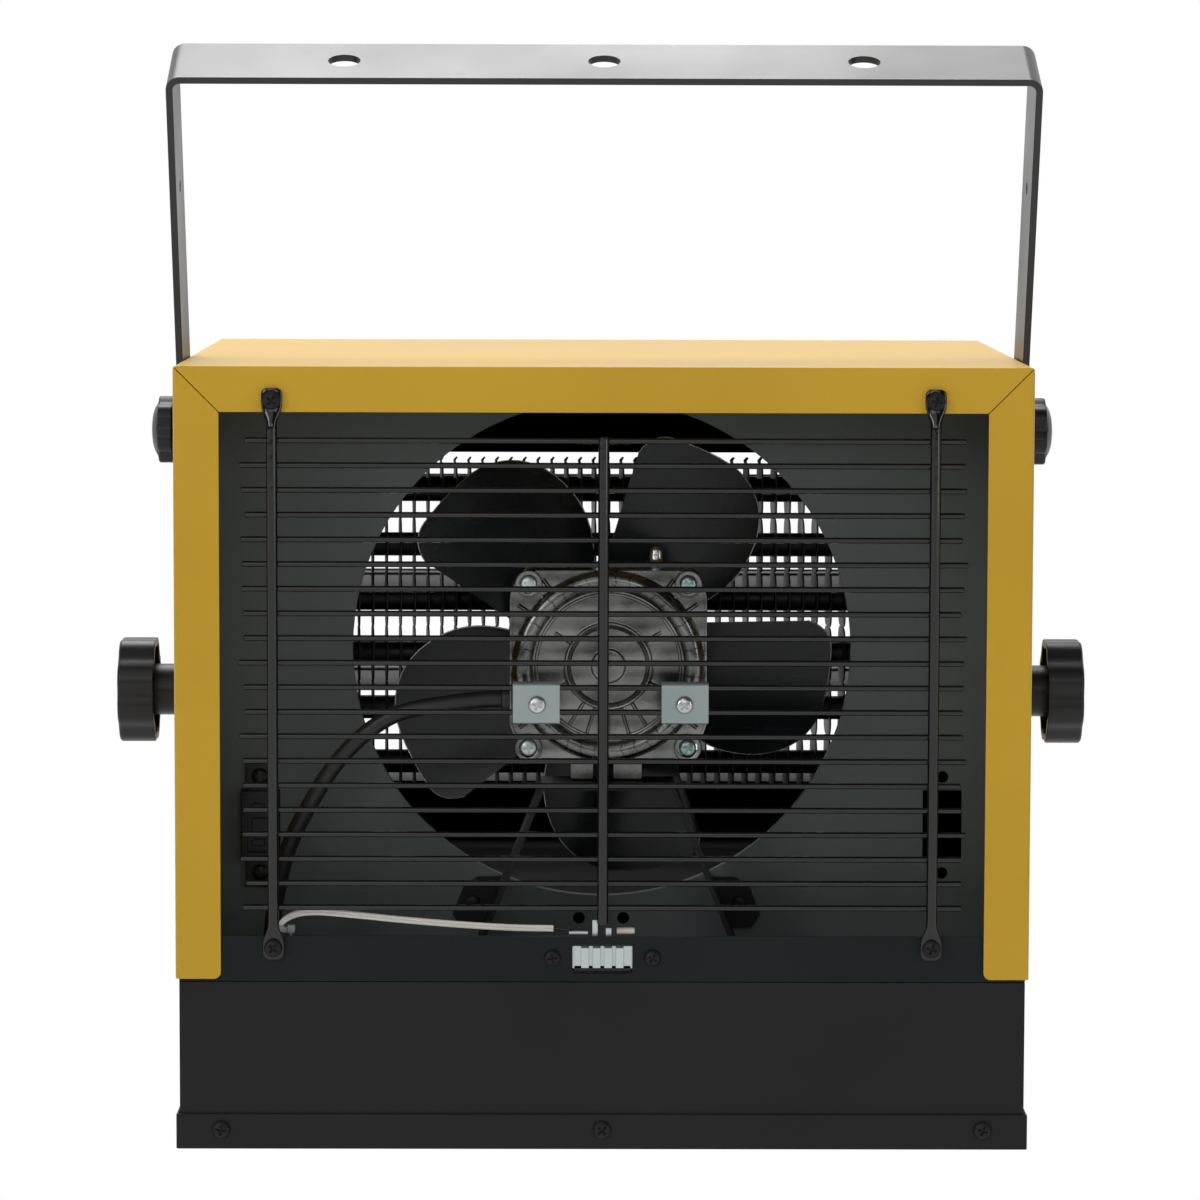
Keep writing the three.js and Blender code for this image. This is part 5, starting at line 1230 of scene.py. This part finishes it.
def makeClampKnob():
    # drawn with its axis along +X from the casing's middle plane
    head0 = clamp["start"] + clamp["hubLength"]
    head1 = head0 + clamp["thick"]
    head = lobed("lobedHead", clamp, head0, clamp["thick"])
    edit(head)
    pick("FACE", lambda place, normal: normal.x > 0.9)
    bpy.ops.mesh.bevel(offset=clamp["edge"] * mm, segments=4)
    pick("FACE", lambda place, normal: normal.x < -0.9)
    bpy.ops.mesh.inset(thickness=clamp["rim"] * mm)
    extrude(local(clamp["hollow"]))
    done(head)
    rounded(head, clamp["inEdge"], 2, 50)
    hub = rod("hub", local(clamp["start"]), local(head1 - clamp["hubEnd"]), clamp["hub"], 48)
    rounded(hub, clamp["hubEdge"], 2, 50)
    radius = clamp["disc"]
    disc = spun("capDisc", [(0, 0.5), (radius - 0.6, 0.5), (radius, 0), (radius, -1), (0, -1)],
                local(head1 - 0.5), (1, 0, 0), 48)
    rib = box("rib", local(head0 + clamp["ribSeat"], clamp["ribStart"], -clamp["ribHalf"]),
              local(head0 + clamp["hollow"] + 1, clamp["radius"] - clamp["dip"] - 2, clamp["ribHalf"]))
    ribs = [copied(rib, Matrix.Rotation(2 * math.pi * (i + 0.5) / clamp["lobes"], 4, "X"))
            for i in range(clamp["lobes"])]
    bpy.data.objects.remove(rib)
    return joined("clampKnob", head, hub, disc, threaded(clamp, 20), *ribs)


def makeStarKnob():
    head0, rim = star["start"] + star["skirtLength"], star["thick"] * star["rimShare"]
    head = rounded(lobed("starHead", star, head0, rim), 1, 3, 50)
    core = star["radius"] - star["dip"] - star["coreEdge"]
    dome = spun("starDome", [*star["dome"], (core, 0.2), (core, -1), (0, -1)], local(head0 + rim),
                (1, 0, 0), 40)
    skirt = rod("skirt", local(star["start"]), local(head0 + 1), star["skirt"], 32)
    return joined("starKnob", head, dome, skirt, threaded(star, 16))


def fitKnobs():
    pivot = at(0, bracket["pivotY"], bracket["pivotZ"])
    tilt = Matrix.Rotation(math.radians(bracket["tilt"]), 4, "X")
    for kind, master, knob in (("clamp_knob", makeClampKnob(), clamp), ("star_knob", makeStarKnob(), star)):
        seat = Matrix.Translation(pivot) @ tilt @ Matrix.Translation(local(z=knob["reach"]))
        for side, turn in (("right", 0), ("left", 180)):
            facing = Matrix.Rotation(math.radians(turn), 4, "Z")
            whole = copied(master, seat @ facing, f"{kind}_{side}_moulded")
            fitted(whole, "blackPlastic", f"{kind}_{side}", "black_plastic", f"{kind}_{side}", angle=38)
        bpy.data.objects.remove(master)


fitKnobs()
bpy.data.objects.remove(headMaster)
print("knobs")

# stage, light and camera
white = (1, 1, 1, 1)
studio = {"skyLight": 0.35, "skySeen": 1.0, "floorTone": 0.72, "floorRough": 0.9, "floorSize": 14,
          "floorReach": (0.16, 0.42), "floorDrop": 0.06, "roomDim": 0.05, "backWall": (-0.12, 0.25),
          "card": (-0.33, -0.76, 0.56), "cardEdge": (0.86, 0.95), "aim": (0, 0.1, -0.25),
          # each lamp's name, place, width, height and power
          "lamps": [("topLamp", (-0.3, -0.15, 1.9), 1.2, 1.2, 26.0),
                    ("keyLamp", (-1.9, -1.9, 0.6), 0.9, 0.9, 14.0),
                    ("sideLamp", (2.1, -1.5, 0.2), 0.5, 1.2, 7.0),
                    ("frontLamp", (0.1, -2.45, 0.45), 1.7, 0.6, 6.0),
                    ("backLamp", (-0.25, 1.35, 1.65), 1.4, 1.4, 32.0)]}


def larger(tree, found, *others):
    # the largest of some values, each a node and its output, and so is what comes back
    for other in others:
        both = node(tree, "ShaderNodeMath", operation="MAXIMUM")
        wire(tree, (*found, both, 0), (*other, both, 1))
        found = both, "Value"
    return found


def seenBy(tree, *rays):
    # 1 for the rays named, and 0 for the light on the object
    path = node(tree, "ShaderNodeLightPath")
    return larger(tree, *[(path, f"Is {ray} Ray") for ray in rays])


def litOnlyForLooks(tree, shade, seen):
    # one shader lights the object, and another is what a viewer or a mirror-like surface sees
    mix = node(tree, "ShaderNodeMixShader")
    looked = seenBy(tree, "Camera", "Transmission", "Glossy")
    wire(tree, (*looked, mix, "Fac"), (shade, 0, mix, 1), (seen, 0, mix, 2))
    return mix


def ramp(tree, source, between):
    low, high = between
    step = node(tree, "ShaderNodeMapRange", ("From Min", low), ("From Max", high),
                interpolation_type="SMOOTHSTEP")
    wire(tree, (*source, step, "Value"))
    return step, "Result"


def makeWorld():
    # mirror-like surfaces find white behind the heater, a bright card at the
    # upper left, and a dim room on the side of the camera
    world = bpy.data.worlds.new("studio")
    bpy.context.scene.world = world
    world.use_nodes = True
    tree = world.node_tree
    tree.nodes.clear()
    light = node(tree, "ShaderNodeBackground", ("Color", white), ("Strength", studio["skyLight"]))
    seen = node(tree, "ShaderNodeBackground", ("Color", white))
    way = node(tree, "ShaderNodeTexCoord")
    parts = node(tree, "ShaderNodeSeparateXYZ")
    card = node(tree, "ShaderNodeVectorMath", (1, studio["card"]), operation="DOT_PRODUCT")
    tone = node(tree, "ShaderNodeMapRange", ("To Min", studio["roomDim"]), ("To Max", studio["skySeen"]))
    out = node(tree, "ShaderNodeOutputWorld")
    room = larger(tree, ramp(tree, (parts, "Y"), studio["backWall"]),
                  ramp(tree, (card, "Value"), studio["cardEdge"]), seenBy(tree, "Camera", "Transmission"))
    wire(tree, (way, "Object", parts, 0), (way, "Object", card, 0), (*room, tone, "Value"),
         (tone, "Result", seen, "Strength"), (litOnlyForLooks(tree, light, seen), 0, out, "Surface"))


def makeFloorPaper():
    # white paper that keeps the shadow under the object and fades into the white all round
    coat = bpy.data.materials.new("floorPaper")
    coat.use_nodes = True
    tree = coat.node_tree
    paper = tree.nodes["Principled BSDF"]
    paper.inputs["Base Color"].default_value = (*[studio["floorTone"]] * 3, 1)
    paper.inputs["Roughness"].default_value = studio["floorRough"]
    glow = node(tree, "ShaderNodeEmission", ("Color", white), ("Strength", studio["skySeen"]))
    place = node(tree, "ShaderNodeTexCoord")
    reach = node(tree, "ShaderNodeVectorMath", operation="LENGTH")
    blend = node(tree, "ShaderNodeMixShader")
    faded = ramp(tree, (reach, "Value"), studio["floorReach"])
    wire(tree, (place, "Object", reach, 0), (*faded, blend, "Fac"), (paper, 0, blend, 1), (glow, 0, blend, 2),
         (litOnlyForLooks(tree, paper, blend), 0, tree.nodes["Material Output"], "Surface"))
    return coat


def makeStage():
    makeWorld()
    deselect()
    # low enough for the heater to tilt above it
    bpy.ops.mesh.primitive_plane_add(size=studio["floorSize"],
                                     location=(0, 0, cadLow.z - studio["floorDrop"]))
    floor = named("floor")
    floor.data.materials.append(makeFloorPaper())

    for name, place, wide, high, power in studio["lamps"]:
        lamp = bpy.data.lights.new(name, "AREA")
        lamp.shape = "RECTANGLE"
        lamp.size, lamp.size_y, lamp.energy = wide, high, power
        holder = bpy.data.objects.new(name, lamp)
        bpy.context.scene.collection.objects.link(holder)
        holder.location = place
        holder.visible_glossy = name != "topLamp"
        way = Vector(studio["aim"]) - holder.location
        holder.rotation_euler = way.to_track_quat("-Z", "Y").to_euler()


shot = {"focalPixels": 4898.0, "picturePixels": 1200, "sensor": 36.0, "place": (-0.0154, -2.1312, -0.0337),
        "pitch": 5.37, "yaw": 0.38, "roll": 0.16}


def makeCamera():
    camera = bpy.data.objects.new("camera", bpy.data.cameras.new("camera"))
    bpy.context.scene.collection.objects.link(camera)
    camera.data.sensor_width = shot["sensor"]
    camera.data.lens = shot["focalPixels"] / shot["picturePixels"] * shot["sensor"]
    turn = (Matrix.Rotation(math.radians(-shot["yaw"]), 4, "Z")
            @ Matrix.Rotation(math.radians(90 - shot["pitch"]), 4, "X")
            @ Matrix.Rotation(math.radians(shot["roll"]), 4, "Z"))
    camera.matrix_world = Matrix.Translation(shot["place"]) @ turn
    bpy.context.scene.camera = camera
    bpy.context.scene.view_settings.view_transform = "Standard"


makeStage()
makeCamera()
